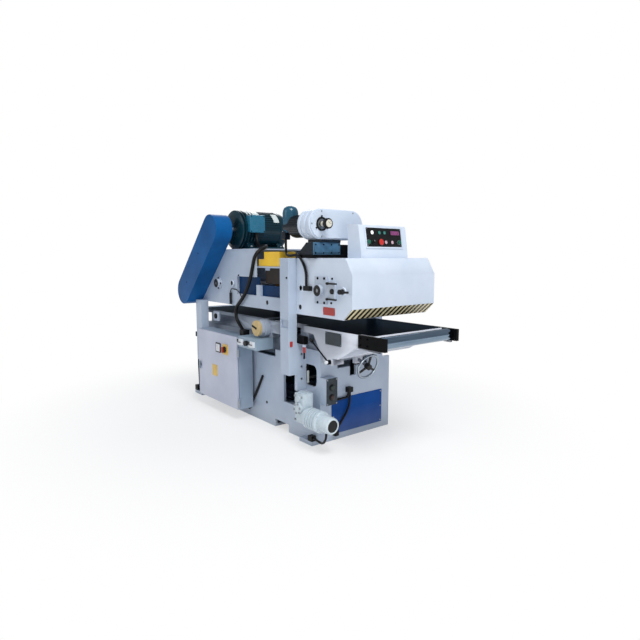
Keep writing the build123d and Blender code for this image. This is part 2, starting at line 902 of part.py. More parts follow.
with BuildPart() as upper_rotor:
    bar_y(motor_x, motor_z, motor_shaft, (near_pulley_y[0], -motor_drive_end + motor_shaft_seat - slip))
    bar_y(motor_x, motor_z, upper_motor_pulley, near_pulley_y)

with BuildPart() as upper_belts:
    for step in range(belts):
        y = around(sum(near_pulley_y) / 2 + (step - (belts - 1) / 2) * belt_pitch, belt_width / 2)
        band((motor_x, motor_z), (upper_cutter_x, upper_cutter_z),
             (upper_motor_pulley + belt_play, upper_cutter_pulley + belt_play), belt_thick, y)

with BuildPart() as belt_guard:
    guard_ends = ((guard_top_x, guard_top_z), (guard_low_x, guard_low_z))
    guard_inner = guard_radius - guard_sheet
    loop(*guard_ends, (guard_radius, guard_radius), (-guard_front, -plate_outer))
    loop(*guard_ends, (guard_inner, guard_inner), (-guard_front + guard_sheet, -plate_outer), Mode.SUBTRACT)


# Feed rollers and their drive shafts
def sprocket(x, z, start):
    """Chain wheel plate whose near face is at this Y."""
    bar_y(x, z, sprocket_radius, (start, start + sprocket_width))


def chain(first, second, start):
    """Chain round two equal wheels."""
    inner = sprocket_radius + slip
    band(first, second, (inner, inner), chain_thick, (start, start + sprocket_width))


infeed_shaft = (infeed_shaft_x, infeed_shaft_z)
outfeed_shaft = (outfeed_shaft_x, outfeed_shaft_z)
infeed_roller = (infeed_shaft_x, feed_roller_z)
outfeed_roller = (outfeed_roller_x, feed_roller_z)

with BuildPart() as infeed_drive_shaft:
    bar_y(*infeed_shaft, feed_shaft_radius, (-bearing_boss_front, plate_outer + bearing_plate_thick))
    sprocket(*infeed_shaft, inner_sprocket_y)
    sprocket(*infeed_shaft, middle_sprocket_y)

with BuildPart() as outfeed_drive_shaft:
    bar_y(*outfeed_shaft, feed_shaft_radius, (-bearing_boss_front, plate_outer + bearing_plate_thick))
    sprocket(*outfeed_shaft, inner_sprocket_y)
    sprocket(*outfeed_shaft, middle_sprocket_y)

with BuildPart() as infeed_feed_roller:
    bar_y(*infeed_roller, feed_roller_radius, (-feed_roller_half, feed_roller_half))
    bar_y(*infeed_roller, feed_journal, (-plate_outer, plate_outer))
    sprocket(*infeed_roller, inner_sprocket_y)

with BuildPart() as outfeed_feed_roller:
    bar_y(*outfeed_roller, feed_roller_radius, (-feed_roller_half, feed_roller_half))
    bar_y(*outfeed_roller, feed_journal, (-plate_outer, plate_outer))
    sprocket(*outfeed_roller, inner_sprocket_y)

with BuildPart() as head_bearings:
    face_y = (-plate_outer - bearing_plate_thick, -plate_outer)
    boss_y = (-bearing_boss_front, face_y[0])
    far_y = (plate_outer, plate_outer + bearing_plate_thick)
    block(bearing_plate_x, face_y, bearing_plate_z)
    block((bearing_plate_x[1], clamp_block_end), (-plate_outer - clamp_block_thick, -plate_outer),
          clamp_block_z)
    bar_y(*outfeed_shaft, far_flange, face_y)
    bar_y(stub_x, stub_z, stub_radius, (-stub_front, -plate_outer))
    bar_y(blank_cover_x, blank_cover_z, blank_cover_radius, face_y)
    for y, flange_y in zip(mirrored(plate_inner, plate_outer),
                           mirrored(plate_outer, plate_outer + flange_thick)):
        bar_y(upper_cutter_x, upper_cutter_z, upper_housing, y)
        bar_y(upper_cutter_x, upper_cutter_z, upper_flange, flange_y)
    bar_y(upper_cutter_x, upper_cutter_z, upper_journal + running,
          (-plate_outer - flange_thick, plate_outer), Mode.SUBTRACT)
    for shaft in (infeed_shaft, outfeed_shaft):
        bar_y(*shaft, bearing_boss, boss_y)
        bar_y(*shaft, far_flange, far_y)
        bar_y(*shaft, feed_shaft_radius + running, (boss_y[0], far_y[1]), Mode.SUBTRACT)

# Chains of the feed drive and of the lift screws
with BuildPart() as drive_chains:
    chain(infeed_shaft, infeed_roller, inner_sprocket_y)
    chain(infeed_shaft, outfeed_shaft, middle_sprocket_y)
    chain(outfeed_shaft, outfeed_roller, inner_sprocket_y)
    for radius, mode in ((lift_sprocket + slip + chain_thick, Mode.ADD),
                         (lift_sprocket + slip, Mode.SUBTRACT)):
        with BuildSketch(Plane.XY.offset(lift_sprocket_z + chain_thick / 2)) as chain_outline:
            for x in screw_x:
                with Locations((x, 0)):
                    Circle(radius)
            make_hull()
        extrude(amount=lift_sprocket_width - chain_thick, mode=mode)

# Variable feed drive on top of the infeed hood
drive_plate_top = head_top + drive_plate_thick
gearbox_top = drive_plate_top + gearbox_height

with BuildPart() as feed_gearbox:
    block(drive_plate_x, drive_plate_y, (head_top, drive_plate_top))
    block(drive_lip_x, (drive_lip_near, drive_plate_y[0]), (head_top, drive_plate_top))
    prism(
        (
            (gearbox_x[0], drive_plate_top),
            (gearbox_x[1], drive_plate_top),
            (gearbox_x[1], gearbox_top),
            (gearbox_x[0] + gearbox_slope, gearbox_top),
            (gearbox_x[0], drive_plate_top + gearbox_toe),
        ),
        gearbox_y,
    )
    block(gear_block_x, (gearbox_y[1], gear_block_end),
          (drive_plate_top, drive_plate_top + gear_block_height))
    block(variator_x, variator_saddle_y, (gearbox_top, variator_z - variator_radius))


def obround(radius, x, mode=Mode.ADD):
    """Rounded case across two upright wheels, drawn out along the feed."""
    with BuildSketch(Plane.YZ.offset(x[0])) as outline:
        for y in variator_y:
            with Locations((y, variator_z)):
                Circle(radius)
        make_hull()
    extrude(outline.sketch, amount=x[1] - x[0], mode=mode)


with BuildPart() as variator_case:
    obround(variator_radius, variator_x)
    for step in (1, 2):
        start = variator_x[0] + (2 * step - 1) * variator_step_width
        groove = (start, start + variator_step_width / 3)
        obround(variator_radius, groove, Mode.SUBTRACT)
        obround(variator_radius - variator_step, groove)
    ring_x = (variator_x[1], variator_x[1] + knob_ring_thick)
    bar_x(variator_y[0], variator_z, knob_ring, ring_x)
    bar_x(variator_y[0], variator_z, knob_ring_inner, ring_x, Mode.SUBTRACT)
    bar_x(variator_y[0], variator_z, knob_stem + running,
          (variator_x[1] - knob_stem_depth, variator_x[1]), Mode.SUBTRACT)

with BuildPart() as feed_motor:
    bar_z(feed_dome_x, feed_motor_y, feed_dome_radius, (feed_motor_z, feed_dome_top))
    fillet(feed_motor.edges().filter_by(GeomType.CIRCLE).sort_by(Axis.Z)[-1], feed_dome_round)
    bar_x(feed_motor_y, feed_motor_z, feed_motor_radius, (feed_motor_end + feed_motor_cowl, variator_x[0]))
    bar_x(feed_motor_y, feed_motor_z, feed_motor_cowl_radius,
          (feed_motor_end, feed_motor_end + feed_motor_cowl))
    block(feed_terminal_x, feed_terminal_y, (feed_terminal_low, feed_motor_z))

with BuildPart() as variator_knob:
    bar_x(variator_y[0], variator_z, knob_radius, (knob_end - knob_head, knob_end))
    bar_x(variator_y[0], variator_z, knob_neck, (knob_start, knob_end - knob_head))
    bar_x(variator_y[0], variator_z, knob_stem, (variator_x[1] - knob_stem_depth + slip, knob_start))

# Console: sheet housing with a leaning front
front_lean = atan2(console_front - console_desk[0], console_desk[1] - console_skirt)
panel_z = console_skirt + panel_rise
panel_x = console_front - panel_rise * tan(front_lean)
panel_face = Plane(
    origin=(panel_x, 0, panel_z),
    x_dir=(0, 1, 0),
    z_dir=(cos(front_lean), 0, sin(front_lean)),
)
panel_top = panel_face.offset(panel_thick)
console_outline = (
    (console_back, head_top),
    (console_front, head_top),
    (console_front, console_skirt),
    console_desk,
    console_brow,
    (console_back, console_top),
)
push_buttons_y = (left_button_y, right_button_y)
stem_hole = button_stem + stem_play


def panel_pins(plane, points, radius, height, mode=Mode.ADD):
    """Round pins on the leaning panel, as (across, up) points from its middle."""
    with BuildSketch(plane) as outline:
        with Locations(*points):
            Circle(radius)
    extrude(outline.sketch, amount=height, mode=mode)


control_points = [(y, lower_row) for y in (*push_buttons_y, selector_y, stop_y)]

with BuildPart() as console:
    prism(console_outline, (-console_half, console_half))
    with BuildSketch(Plane.XZ.offset(-console_half + console_sheet)) as console_inside:
        Polygon(*console_outline)
        offset(amount=-console_sheet, mode=Mode.REPLACE)
    extrude(amount=2 * (console_half - console_sheet), mode=Mode.SUBTRACT)
    block((console_back + console_sheet, console_front - console_sheet),
          (-console_half + console_sheet, console_half - console_sheet),
          (head_top, head_top + console_sheet), Mode.SUBTRACT)
    panel_pins(panel_face, control_points, stem_hole, -2 * console_sheet, Mode.SUBTRACT)

with BuildPart() as console_panel:
    with BuildSketch(panel_face) as panel_outline:
        Rectangle(panel_width, panel_height)
    extrude(amount=panel_thick)
    panel_pins(panel_top, [(white_lamp_y, upper_row)], white_lamp_radius, lamp_height)
    panel_pins(panel_top, [(y, upper_row) for y in upper_lamps_y], lamp_radius, lamp_height)
    panel_pins(panel_top, [(y, lower_row) for y in lower_lamps_y], lamp_radius, lamp_height)
    with BuildSketch(panel_top) as display_outline:
        with Locations((display_y, upper_row)):
            Rectangle(*display_size)
    extrude(amount=lamp_height / 2)
    panel_pins(panel_face, control_points, stem_hole, panel_thick, Mode.SUBTRACT)


def control(y, radius, travel):
    """Round cap over the panel on a stem that passes through it."""
    panel_pins(panel_top.offset(-panel_thick - 2 * console_sheet), [(y, lower_row)], button_stem,
               panel_thick + 2 * console_sheet + travel + slip)
    panel_pins(panel_top.offset(travel + slip), [(y, lower_row)], radius, button_cap)


with BuildPart() as start_button:
    control(left_button_y, button_radius, button_travel)

with BuildPart() as reset_button:
    control(right_button_y, button_radius, button_travel)

with BuildPart() as stop_button:
    control(stop_y, stop_radius, button_travel)

with BuildPart() as mode_selector:
    control(selector_y, selector_radius, 0)
    with BuildSketch(panel_top.offset(slip + button_cap)) as selector_bar:
        with Locations((selector_y, lower_row)):
            Rectangle(selector_radius / 2, 2 * selector_radius - lamp_height)
    extrude(amount=button_cap)

# Bed saddle: box with cross plates, cheeks that hold the lower cutterhead, and the inclined ways
table_under = table_height - table_plate
screw_plane = Plane(origin=(wheel_x, 0, wheel_z), x_dir=(0, 1, 0), z_dir=(slope_run, 0, -slope_fall))
screw_length = (wheel_x - table_screw_inner_x) / slope_run


def way_line(span):
    """Ends of an inclined way's sliding face over an X span."""
    rise = tan(radians(table_slope)) * (span[1] - span[0]) / 2
    return (span[0], way_mid_z + rise), (span[1], way_mid_z - rise)


def screw_bore(radius):
    """Hole along the whole table screw."""
    with BuildSketch(screw_plane) as outline:
        Circle(radius)
    extrude(outline.sketch, amount=-screw_length - wheel_rim, mode=Mode.SUBTRACT)


with BuildPart() as bed_saddle:
    inner_half_bed = bed_half - bed_wall
    block((bed_out, bed_in), (-bed_half, bed_half), (bed_low, bed_top))
    block((bed_out + bed_wall, bed_in - bed_wall), (-inner_half_bed, inner_half_bed),
          (bed_low, bed_top - bed_wall), Mode.SUBTRACT)
    for middle, half in ((screw_x[0], nut_plate_half), (lower_cutter_x, motor_plate_half),
                         (screw_x[1], nut_plate_half)):
        block(around(middle, half), (-inner_half_bed, inner_half_bed), (bed_low, bed_low + bed_wall))
    for x in screw_x:
        bar_z(x, 0, screw_radius + screw_room, (bed_low, bed_top), Mode.SUBTRACT)
    for y in mirrored(inner_half_bed, cheek_outer):
        block(shoulder_x, y, (bed_top, shoulder_top))
    cheek_outline = ((cheek_start, cheek_top), (cheek_toe, shoulder_top),
                     (cheek_end, shoulder_top), (cheek_end, cheek_top))
    for y in mirrored(cheek_inner, cheek_outer):
        prism(cheek_outline, y)
        bar_y(lower_cutter_x, lower_cutter_z, lower_housing + seat, y, Mode.SUBTRACT)
    bar_y(lower_cutter_x, lower_cutter_z, cutter_mouth, (-cheek_inner, cheek_inner), Mode.SUBTRACT)
    for span in ways:
        for y in mirrored(*way_y):
            prism(((span[0], bed_top), *way_line(span), (span[1], bed_top)), y)
    screw_bore(table_screw + running)

# Outfeed table with the slot of its bed roller
bed_roller_z = table_height + bed_roller_lift - bed_roller_radius

with BuildPart() as outfeed_table:
    block((outfeed_table_end, lower_cutter_x - cutter_mouth), (-outfeed_half, outfeed_half),
          (table_under, table_height))
    roller_slot = around(bed_roller_x, bed_roller_radius + way_play)
    for y in mirrored(bed_roller_half + way_play, outfeed_half):
        block(around(bed_roller_x, bed_roller_radius), y,
              (bed_roller_z - 2 * bed_roller_journal, table_under))
    block(roller_slot, (-bed_roller_half - way_play, bed_roller_half + way_play), (table_under, table_height),
          Mode.SUBTRACT)
    bar_y(bed_roller_x, bed_roller_z, bed_roller_journal + running, (-outfeed_half, outfeed_half),
          Mode.SUBTRACT)
    for y in mirrored(rib_y, rib_y + bed_wall):
        block((rib_start, rib_end), y, (bed_top, table_under))

with BuildPart() as outfeed_bed_roller:
    bar_y(bed_roller_x, bed_roller_z, bed_roller_radius, (-bed_roller_half, bed_roller_half))
    bar_y(bed_roller_x, bed_roller_z, bed_roller_journal, (-outfeed_half + slip, outfeed_half - slip))

# Infeed table casting on the inclined ways
table_lip = lower_cutter_x + cutter_mouth
apron_inner = table_half - apron
apron_outline = ((apron_start, table_height), (table_end, table_height), (table_end, apron_end_z),
                 apron_heel, apron_low, apron_knee, (apron_start, apron_toe_z))
end_wall_outline = (
    (table_end, table_under),
    (table_end, apron_end_z),
    apron_heel,
    (apron_heel[0], apron_heel[1] + end_wall_thick),
    (table_end - end_wall_thick, apron_end_z + end_wall_thick),
    (table_end - end_wall_thick, table_under),
)

with BuildPart() as infeed_table:
    for x0, x1, half in ((table_lip, notch_start, inner_half), (notch_start, apron_start, notch_half),
                         (apron_start, table_end, table_half), (table_end, tongue_end, tongue_half)):
        block((x0, x1), (-half, half), (table_under, table_height))
    for y in mirrored(apron_inner, table_half):
        prism(apron_outline, y)
    prism(end_wall_outline, (-apron_inner, apron_inner))
    for span in ways:
        for y in mirrored(*way_y):
            prism(((span[0], table_under), *way_line(span), (span[1], table_under)), y)
    block(nut_bracket_x, (-nut_bracket_half, nut_bracket_half), (nut_bracket_low, table_under))
    block(boss_x, (-table_half, -boss_inner), boss_z)
    for y in mirrored(arm_inner, table_half):
        block((table_end, lip_end), y, (apron_end_z - lip_thick, apron_end_z))
    block((table_end - end_wall_thick, table_end), (-table_half, table_half),
          (apron_end_z - lip_thick, apron_end_z))
    screw_bore(table_screw + slip)
    bar_y(lever_pivot_x, lever_pivot_z, lever_pin + running, (-table_half, -table_half + lever_reach),
          Mode.SUBTRACT)

# Roller arms and the end roller
arm_outer = arm_inner + arm_thick
roller_z = table_height - end_roller_radius

with BuildPart() as roller_arms:
    for y in mirrored(arm_inner, arm_outer):
        block((table_end, arm_end), y, (apron_end_z, table_height))
        bar_y(end_roller_x, roller_z, end_roller_axle + running, y, Mode.SUBTRACT)

with BuildPart() as end_roller:
    bar_y(end_roller_x, roller_z, end_roller_radius, (-arm_inner + end_roller_gap, arm_inner - end_roller_gap))
    bar_y(end_roller_x, roller_z, end_roller_axle, (-arm_outer, arm_outer))

# Handwheel on the inclined table screw
with BuildPart() as handwheel:
    with BuildSketch(screw_plane) as wheel_shaft:
        Circle(table_screw)
    extrude(amount=-screw_length)
    with BuildSketch(screw_plane.offset(-wheel_hub_length / 2)) as wheel_boss:
        Circle(wheel_hub)
    extrude(amount=wheel_hub_length)
    with BuildSketch(screw_plane.offset(-wheel_spoke / 2)) as wheel_arms:
        with PolarLocations(wheel_radius / 2, wheel_spokes, start_angle=90):
            Rectangle(wheel_radius, 2 * wheel_spoke)
    extrude(amount=wheel_spoke)
    with Locations(Location(screw_plane)):
        Torus(wheel_radius, wheel_rim)

# Lock lever on the boss under the infeed table
lever_y = -table_half - lever_hub
lever_run = (lever_tip_x - lever_pivot_x, lever_tip_z - lever_pivot_z)
lever_length = hypot(*lever_run)
lever_plane = Plane(
    origin=(lever_pivot_x, lever_y, lever_pivot_z),
    z_dir=(lever_run[0] / lever_length, 0, lever_run[1] / lever_length),
)

with BuildPart() as lock_lever:
    bar_y(lever_pivot_x, lever_pivot_z, lever_hub, (lever_y - lever_hub / 2, -table_half - slip))
    bar_y(lever_pivot_x, lever_pivot_z, lever_pin, (-table_half - slip, -table_half + lever_reach - slip))
    with BuildSketch(lever_plane) as lever_section:
        Circle(lever_rod)
    extrude(amount=lever_length)
    with BuildSketch(lever_plane.offset(lever_length)) as lever_grip:
        Circle(lever_knob)
    extrude(amount=lever_handle)


# Lift screws with their chain wheels, and the nuts under the bed
def lift_screw(x):
    """Upright screw from its foot bearing to its top, with its chain wheel."""
    bar_z(x, 0, screw_radius, (base_wall + screw_foot_gap, screw_top))
    bar_z(x, 0, lift_sprocket, (lift_sprocket_z, lift_sprocket_z + lift_sprocket_width))


with BuildPart() as outfeed_lift_screw:
    lift_screw(screw_x[0])

with BuildPart() as infeed_lift_screw:
    lift_screw(screw_x[1])

with BuildPart() as lift_nuts:
    for x in screw_x:
        bar_z(x, 0, nut_flange, (bed_low - nut_flange_thick, bed_low))
        bar_z(x, 0, nut_body, (bed_low - nut_flange_thick - nut_length, bed_low - nut_flange_thick))
        bar_z(x, 0, screw_radius + slip, (bed_low - nut_flange_thick - nut_length, bed_low), Mode.SUBTRACT)

# Lift gearmotor with the tube that leads its drive to the infeed screw
gear_mid_x = sum(gear_case_x) / 2
gear_mid_z = sum(gear_case_z) / 2
lift_motor_start = base_end + lift_motor_gap
tube_top = drive_tube_z + drive_tube_radius
bevel_box_z = (tube_top - bevel_box_height, tube_top)

with BuildPart() as lift_gearmotor:
    block(gear_case_x, gear_case_y, gear_case_z)
    upright = gear_case_x[1] - gear_case_x[0]
    fillet(edges().filter_by(Axis.Y), min(upright, gear_case_z[1] - gear_case_z[0]) / 4)
    bar_y(gear_mid_x, gear_mid_z, gear_cover_radius, (gear_case_y[0] - gear_cover_height, gear_case_y[0]))
    bar_x(lift_motor_y, lift_motor_z, lift_motor_cowl, (gear_case_x[1], lift_motor_end))
    bar_x(lift_motor_y, lift_motor_z, lift_motor_radius, (lift_motor_start, lift_motor_neck))
    for step in range(lift_motor_fins):
        start = lift_motor_start + (step + 1) * lift_motor_fin_pitch
        groove = (start, start + motor_fin_width)
        bar_x(lift_motor_y, lift_motor_z, lift_motor_radius, groove, Mode.SUBTRACT)
        bar_x(lift_motor_y, lift_motor_z, lift_motor_radius - motor_fin_depth, groove)
    bar_y(drive_tube_x, drive_tube_z, drive_tube_radius, (gear_case_y[1], -bevel_box_half))
    block((screw_x[1] - bevel_box_half, drive_tube_x + bevel_box_half), (-bevel_box_half, bevel_box_half),
          bevel_box_z)
    bar_z(screw_x[1], 0, screw_radius + slip, bevel_box_z, Mode.SUBTRACT)

# Lower cutter motor under the bed, with its drive on the far side
lower_motor_shaft_y = lower_motor_half - lower_motor_seat
lower_cutter = (lower_cutter_x, lower_cutter_z)
lower_motor_axis = (lower_cutter_x, lower_motor_z)

with BuildPart() as lower_motor:
    bar_y(*lower_motor_axis, lower_motor_radius, (-lower_motor_half, lower_motor_half))
    block(around(lower_cutter_x, lower_motor_foot), around(0, lower_motor_foot), (lower_motor_z, bed_low))
    bar_y(*lower_motor_axis, lower_motor_shaft + running, (lower_motor_shaft_y, lower_motor_half),
          Mode.SUBTRACT)

with BuildPart() as lower_rotor:
    bar_y(*lower_motor_axis, lower_motor_shaft, (lower_motor_shaft_y + slip, lower_pulley_span[1]))
    bar_y(*lower_motor_axis, lower_motor_pulley, lower_pulley_span)

with BuildPart() as lower_belts:
    for step in range(belts):
        belt_mid = sum(lower_pulley_span) / 2 + (step - (belts - 1) / 2) * lower_belt_pitch
        y = around(belt_mid, lower_belt_width / 2)
        band(lower_cutter, lower_motor_axis,
             (lower_cutter_pulley + belt_play, lower_motor_pulley + belt_play), belt_thick, y)

with BuildPart() as lower_belt_guard:
    guard_room = belt_thick + lower_guard_room
    guard_radii = [radius + guard_room for radius in (lower_cutter_pulley, lower_motor_pulley)]
    inner_radii = [radius - guard_sheet for radius in guard_radii]
    inner_y = (lower_guard_y[0] + guard_sheet, lower_guard_y[1] - guard_sheet)
    loop(lower_cutter, lower_motor_axis, guard_radii, lower_guard_y)
    loop(lower_cutter, lower_motor_axis, inner_radii, inner_y, Mode.SUBTRACT)
    for x, z in (lower_cutter, lower_motor_axis):
        bar_y(x, z, shaft_room, (lower_guard_y[0], inner_y[0]), Mode.SUBTRACT)
    for dx in (-guard_stud_dx, guard_stud_dx):
        bar_y(lower_cutter_x + dx, lower_cutter_z + guard_stud_dz, guard_stud,
              (cheek_outer, lower_guard_y[0]))

# Clamp box hung from the near cheek, with a knob and two clamp pads
clamp_mid_x = sum(clamp_box_x) / 2
clamp_mid_z = sum(clamp_box_z) / 2

with BuildPart() as clamp_box:
    block(clamp_box_x, (-clamp_box_front, -base_half - clamp_box_gap), clamp_box_z)
    block(clamp_flange_x, (-cheek_outer - clamp_flange_thick, -cheek_outer),
          (clamp_box_z[0], clamp_flange_top))
    bar_y(clamp_mid_x, clamp_mid_z, clamp_knob_radius,
          (-clamp_box_front - clamp_knob_length, -clamp_box_front))
    for dx in (-clamp_pad_pitch, clamp_pad_pitch):
        block(around(clamp_mid_x + dx, clamp_pad_width / 2),
              (-clamp_box_front - clamp_pad_thick, -clamp_box_front),
              around(clamp_mid_z, clamp_pad_height / 2))

# Electrical cabinet with its hinged door
door_y = (-cabinet_front, -cabinet_front + door_thick)
cabinet_y = (door_y[1], -cabinet_back)
cabinet_inner = [(low + cabinet_sheet, high - cabinet_sheet) for low, high in (cabinet_x, cabinet_z)]
ear_y = (hinge_y - hinge_pin, door_y[1] + hinge_ear)

with BuildPart() as cabinet_body:
    block(cabinet_x, cabinet_y, cabinet_z)
    block(cabinet_inner[0], (cabinet_y[0], cabinet_y[1] - cabinet_sheet), cabinet_inner[1], Mode.SUBTRACT)
    for x in cabinet_x:
        rail_x = around(x - cabinet_rail_inset if x > 0 else x + cabinet_rail_inset, cabinet_rail / 2)
        block(rail_x, (-cabinet_back, -base_half), (cabinet_z[0], base_top - lift_down))
    for height in hinge_heights:
        for z in (height - hinge_length / 2, height + hinge_length / 2):
            ear_z = (z, z + hinge_ear) if z > height else (z - hinge_ear, z)
            block((cabinet_x[1], hinge_x + hinge_pin), ear_y, ear_z)
        bar_z(hinge_x, hinge_y, hinge_pin, around(height, hinge_length / 2))

with BuildPart() as cabinet_door:
    door_edge = cabinet_x[1] - door_edge_gap
    block((cabinet_x[0], door_edge), door_y, cabinet_z)
    for height in hinge_heights:
        knuckle_z = around(height, hinge_length / 2 - slip)
        block((door_edge, hinge_x), (hinge_y - hinge_pin, hinge_y + hinge_pin), knuckle_z)
        bar_z(hinge_x, hinge_y, hinge_knuckle, knuckle_z)
        bar_z(hinge_x, hinge_y, hinge_pin + running, knuckle_z, Mode.SUBTRACT)
    block(around(switch_x, switch_plate / 2), (door_y[0] - switch_plate_thick, door_y[0]),
          around(switch_z, switch_plate / 2))
    block(around(meter_x, meter_plate / 2), (door_y[0] - meter_thick, door_y[0]),
          around(switch_z, meter_plate / 2))
    bar_y(switch_x, switch_z, spindle + stem_play, (door_y[0] - switch_plate_thick, door_y[1]), Mode.SUBTRACT)
    bar_y(latch_x, latch_z, spindle + stem_play, door_y, Mode.SUBTRACT)

with BuildPart() as main_switch:
    switch_face = door_y[0] - switch_plate_thick - slip
    bar_y(switch_x, switch_z, spindle, (switch_face, switch_face + spindle_length))
    bar_y(switch_x, switch_z, switch_knob, (switch_face - switch_knob_length / 2, switch_face))
    block(around(switch_x, spindle), (switch_face - switch_knob_length, switch_face - switch_knob_length / 2),
          around(switch_z, switch_knob))

with BuildPart() as door_latch:
    latch_face = door_y[0] - slip
    bar_y(latch_x, latch_z, spindle, (latch_face, latch_face + spindle_length - stem_play))
    bar_y(latch_x, latch_z, latch_radius, (latch_face - spindle, latch_face))
    block(around(latch_x, latch_lever[0] / 2), (latch_face - 2 * spindle, latch_face - spindle),
          around(latch_z, latch_lever[1] / 2))

# Push-button station on the pedestal's end
with BuildPart() as switch_station:
    block(station_x, station_y, station_z)
    for z in station_button_z:
        bar_x(station_mid_y, z, button_stem + stem_play, (station_x[1] - station_depth / 2, station_x[1]),
              Mode.SUBTRACT)


def station_button(z):
    """Round cap on its stem."""
    cap_start = station_x[1] + button_travel + slip
    bar_x(station_mid_y, z, button_stem, (station_x[1] - station_depth / 2 + 2 * button_travel, cap_start))
    bar_x(station_mid_y, z, station_button_radius, (cap_start, cap_start + button_cap))


with BuildPart() as lower_button:
    station_button(station_button_z[0])

with BuildPart() as raise_button:
    station_button(station_button_z[1])


# Conduits clipped along the machine
def bend_radii(points):
    """Largest even arc at each corner of a route, where an end leg serves one bend and an inner leg two."""
    legs = [Vector(*after) - Vector(*before) for before, after in zip(points, points[1:])]
    room = [leg.length * bend_share for leg in legs]
    room[0] *= 2
    room[-1] *= 2
    radii = []
    for step, (arriving, leaving) in enumerate(zip(legs, legs[1:])):
        half_turn = radians(arriving.get_angle(leaving)) / 2
        radii.append(min(room[step], room[step + 1]) / tan(half_turn))
    return radii


def conduit(points, diameter):
    """Round conduit along straight runs joined by tangent arcs."""
    with BuildLine() as route:
        FilletPolyline(*points, radius=bend_radii(points))
    with BuildSketch(Plane(origin=points[0], z_dir=route.line % 0)) as section:
        Circle(diameter / 2)
    sweep(section.sketch, path=route.line)


def at_y(y, points):
    """Route corners in X and Z at this Y."""
    return tuple((x, y, z) for x, z in points)


terminal_mid = ((terminal_box_start + terminal_box_end) / 2 + motor_conduit_inset, sum(terminal_box_y) / 2)
cabinet_gland_z = (cabinet_z[1], cabinet_z[1] + cabinet_gland_height)
feed_terminal_mid = (sum(feed_terminal_x) / 2, sum(feed_terminal_y) / 2)
wall_conduit_y = -base_half - wall_conduit / 2
end_cable_y = -base_half - end_cable / 2
panel_cable_x = base_end + panel_thick + small_conduit
gland_span = (base_end, base_end + gland_x)
station_cable_x = base_end + gland_x / 2
foot_box_z = (foot_thick, foot_thick + foot_box_height)

motor_conduit_route = (
    (*terminal_mid, terminal_box_z[0]),
    (*terminal_mid, motor_conduit_drop),
    motor_conduit_edge,
    *at_y(motor_conduit_y, motor_conduit_bends),
    (sum(cabinet_gland_x) / 2, motor_conduit_y, sum(cabinet_gland_z) / 2),
)
head_conduit_route = (
    (*feed_terminal_mid, feed_terminal_low),
    (*feed_terminal_mid, head_conduit_drop),
    *at_y(head_conduit_y, head_conduit_bends),
    (head_conduit_bends[-1][0], head_conduit_y, switch_box_z[1]),
)
station_cable_route = (
    (station_cable_x, gland_y[0] + small_conduit, gland_z[0]),
    (station_cable_x, gland_y[0] + small_conduit, station_cable_z),
    (station_cable_x, station_y[1], station_cable_z),
)
panel_cable_route = (
    (panel_cable_x, panel_cable_bends[0][0], gland_z[0]),
    *((panel_cable_x, y, z) for y, z in panel_cable_bends),
    (panel_cable_x, *panel_cable_end),
)
loop_cable_route = (
    (loop_cable_x, lift_motor_y, lift_motor_z - lift_motor_cowl),
    (loop_cable_x, lift_motor_y, loop_cable_z),
    (foot_box_x[1] - small_conduit / 2, sum(foot_box_y) / 2, loop_cable_z),
)
sensor_cable_route = (
    (sensor_x, sensor_y, sensor_z[1]),
    *at_y(sensor_y, sensor_cable_bends),
    sensor_cable_end,
)

with BuildPart() as conduits:
    conduit(motor_conduit_route, motor_conduit)
    block(cabinet_gland_x, cabinet_gland_y, cabinet_gland_z)
    conduit(head_conduit_route, head_conduit)
    block(switch_box_x, (-switch_box_front, -plate_outer), switch_box_z)
    conduit(station_cable_route, small_conduit)
    conduit(panel_cable_route, small_conduit)
    block(gland_span, gland_y, gland_z)
    block((base_end + panel_thick, gland_span[1]), low_gland_y, low_gland_z)
    conduit(loop_cable_route, small_conduit)
    block(foot_box_x, foot_box_y, foot_box_z)
    conduit(at_y(wall_conduit_y, wall_conduit_bends), wall_conduit)
    conduit(at_y(end_cable_y, end_cable_bends), end_cable)
    block(end_clip_x, (-base_half - 2 * end_cable, -base_half), end_clip_z)
    block(end_box_x, (-foot_half, -base_half), (foot_thick, foot_thick + end_box_height))
    conduit(sensor_cable_route, sensor_cable)
    bar_z(sensor_x, sensor_y, sensor_radius, sensor_z)

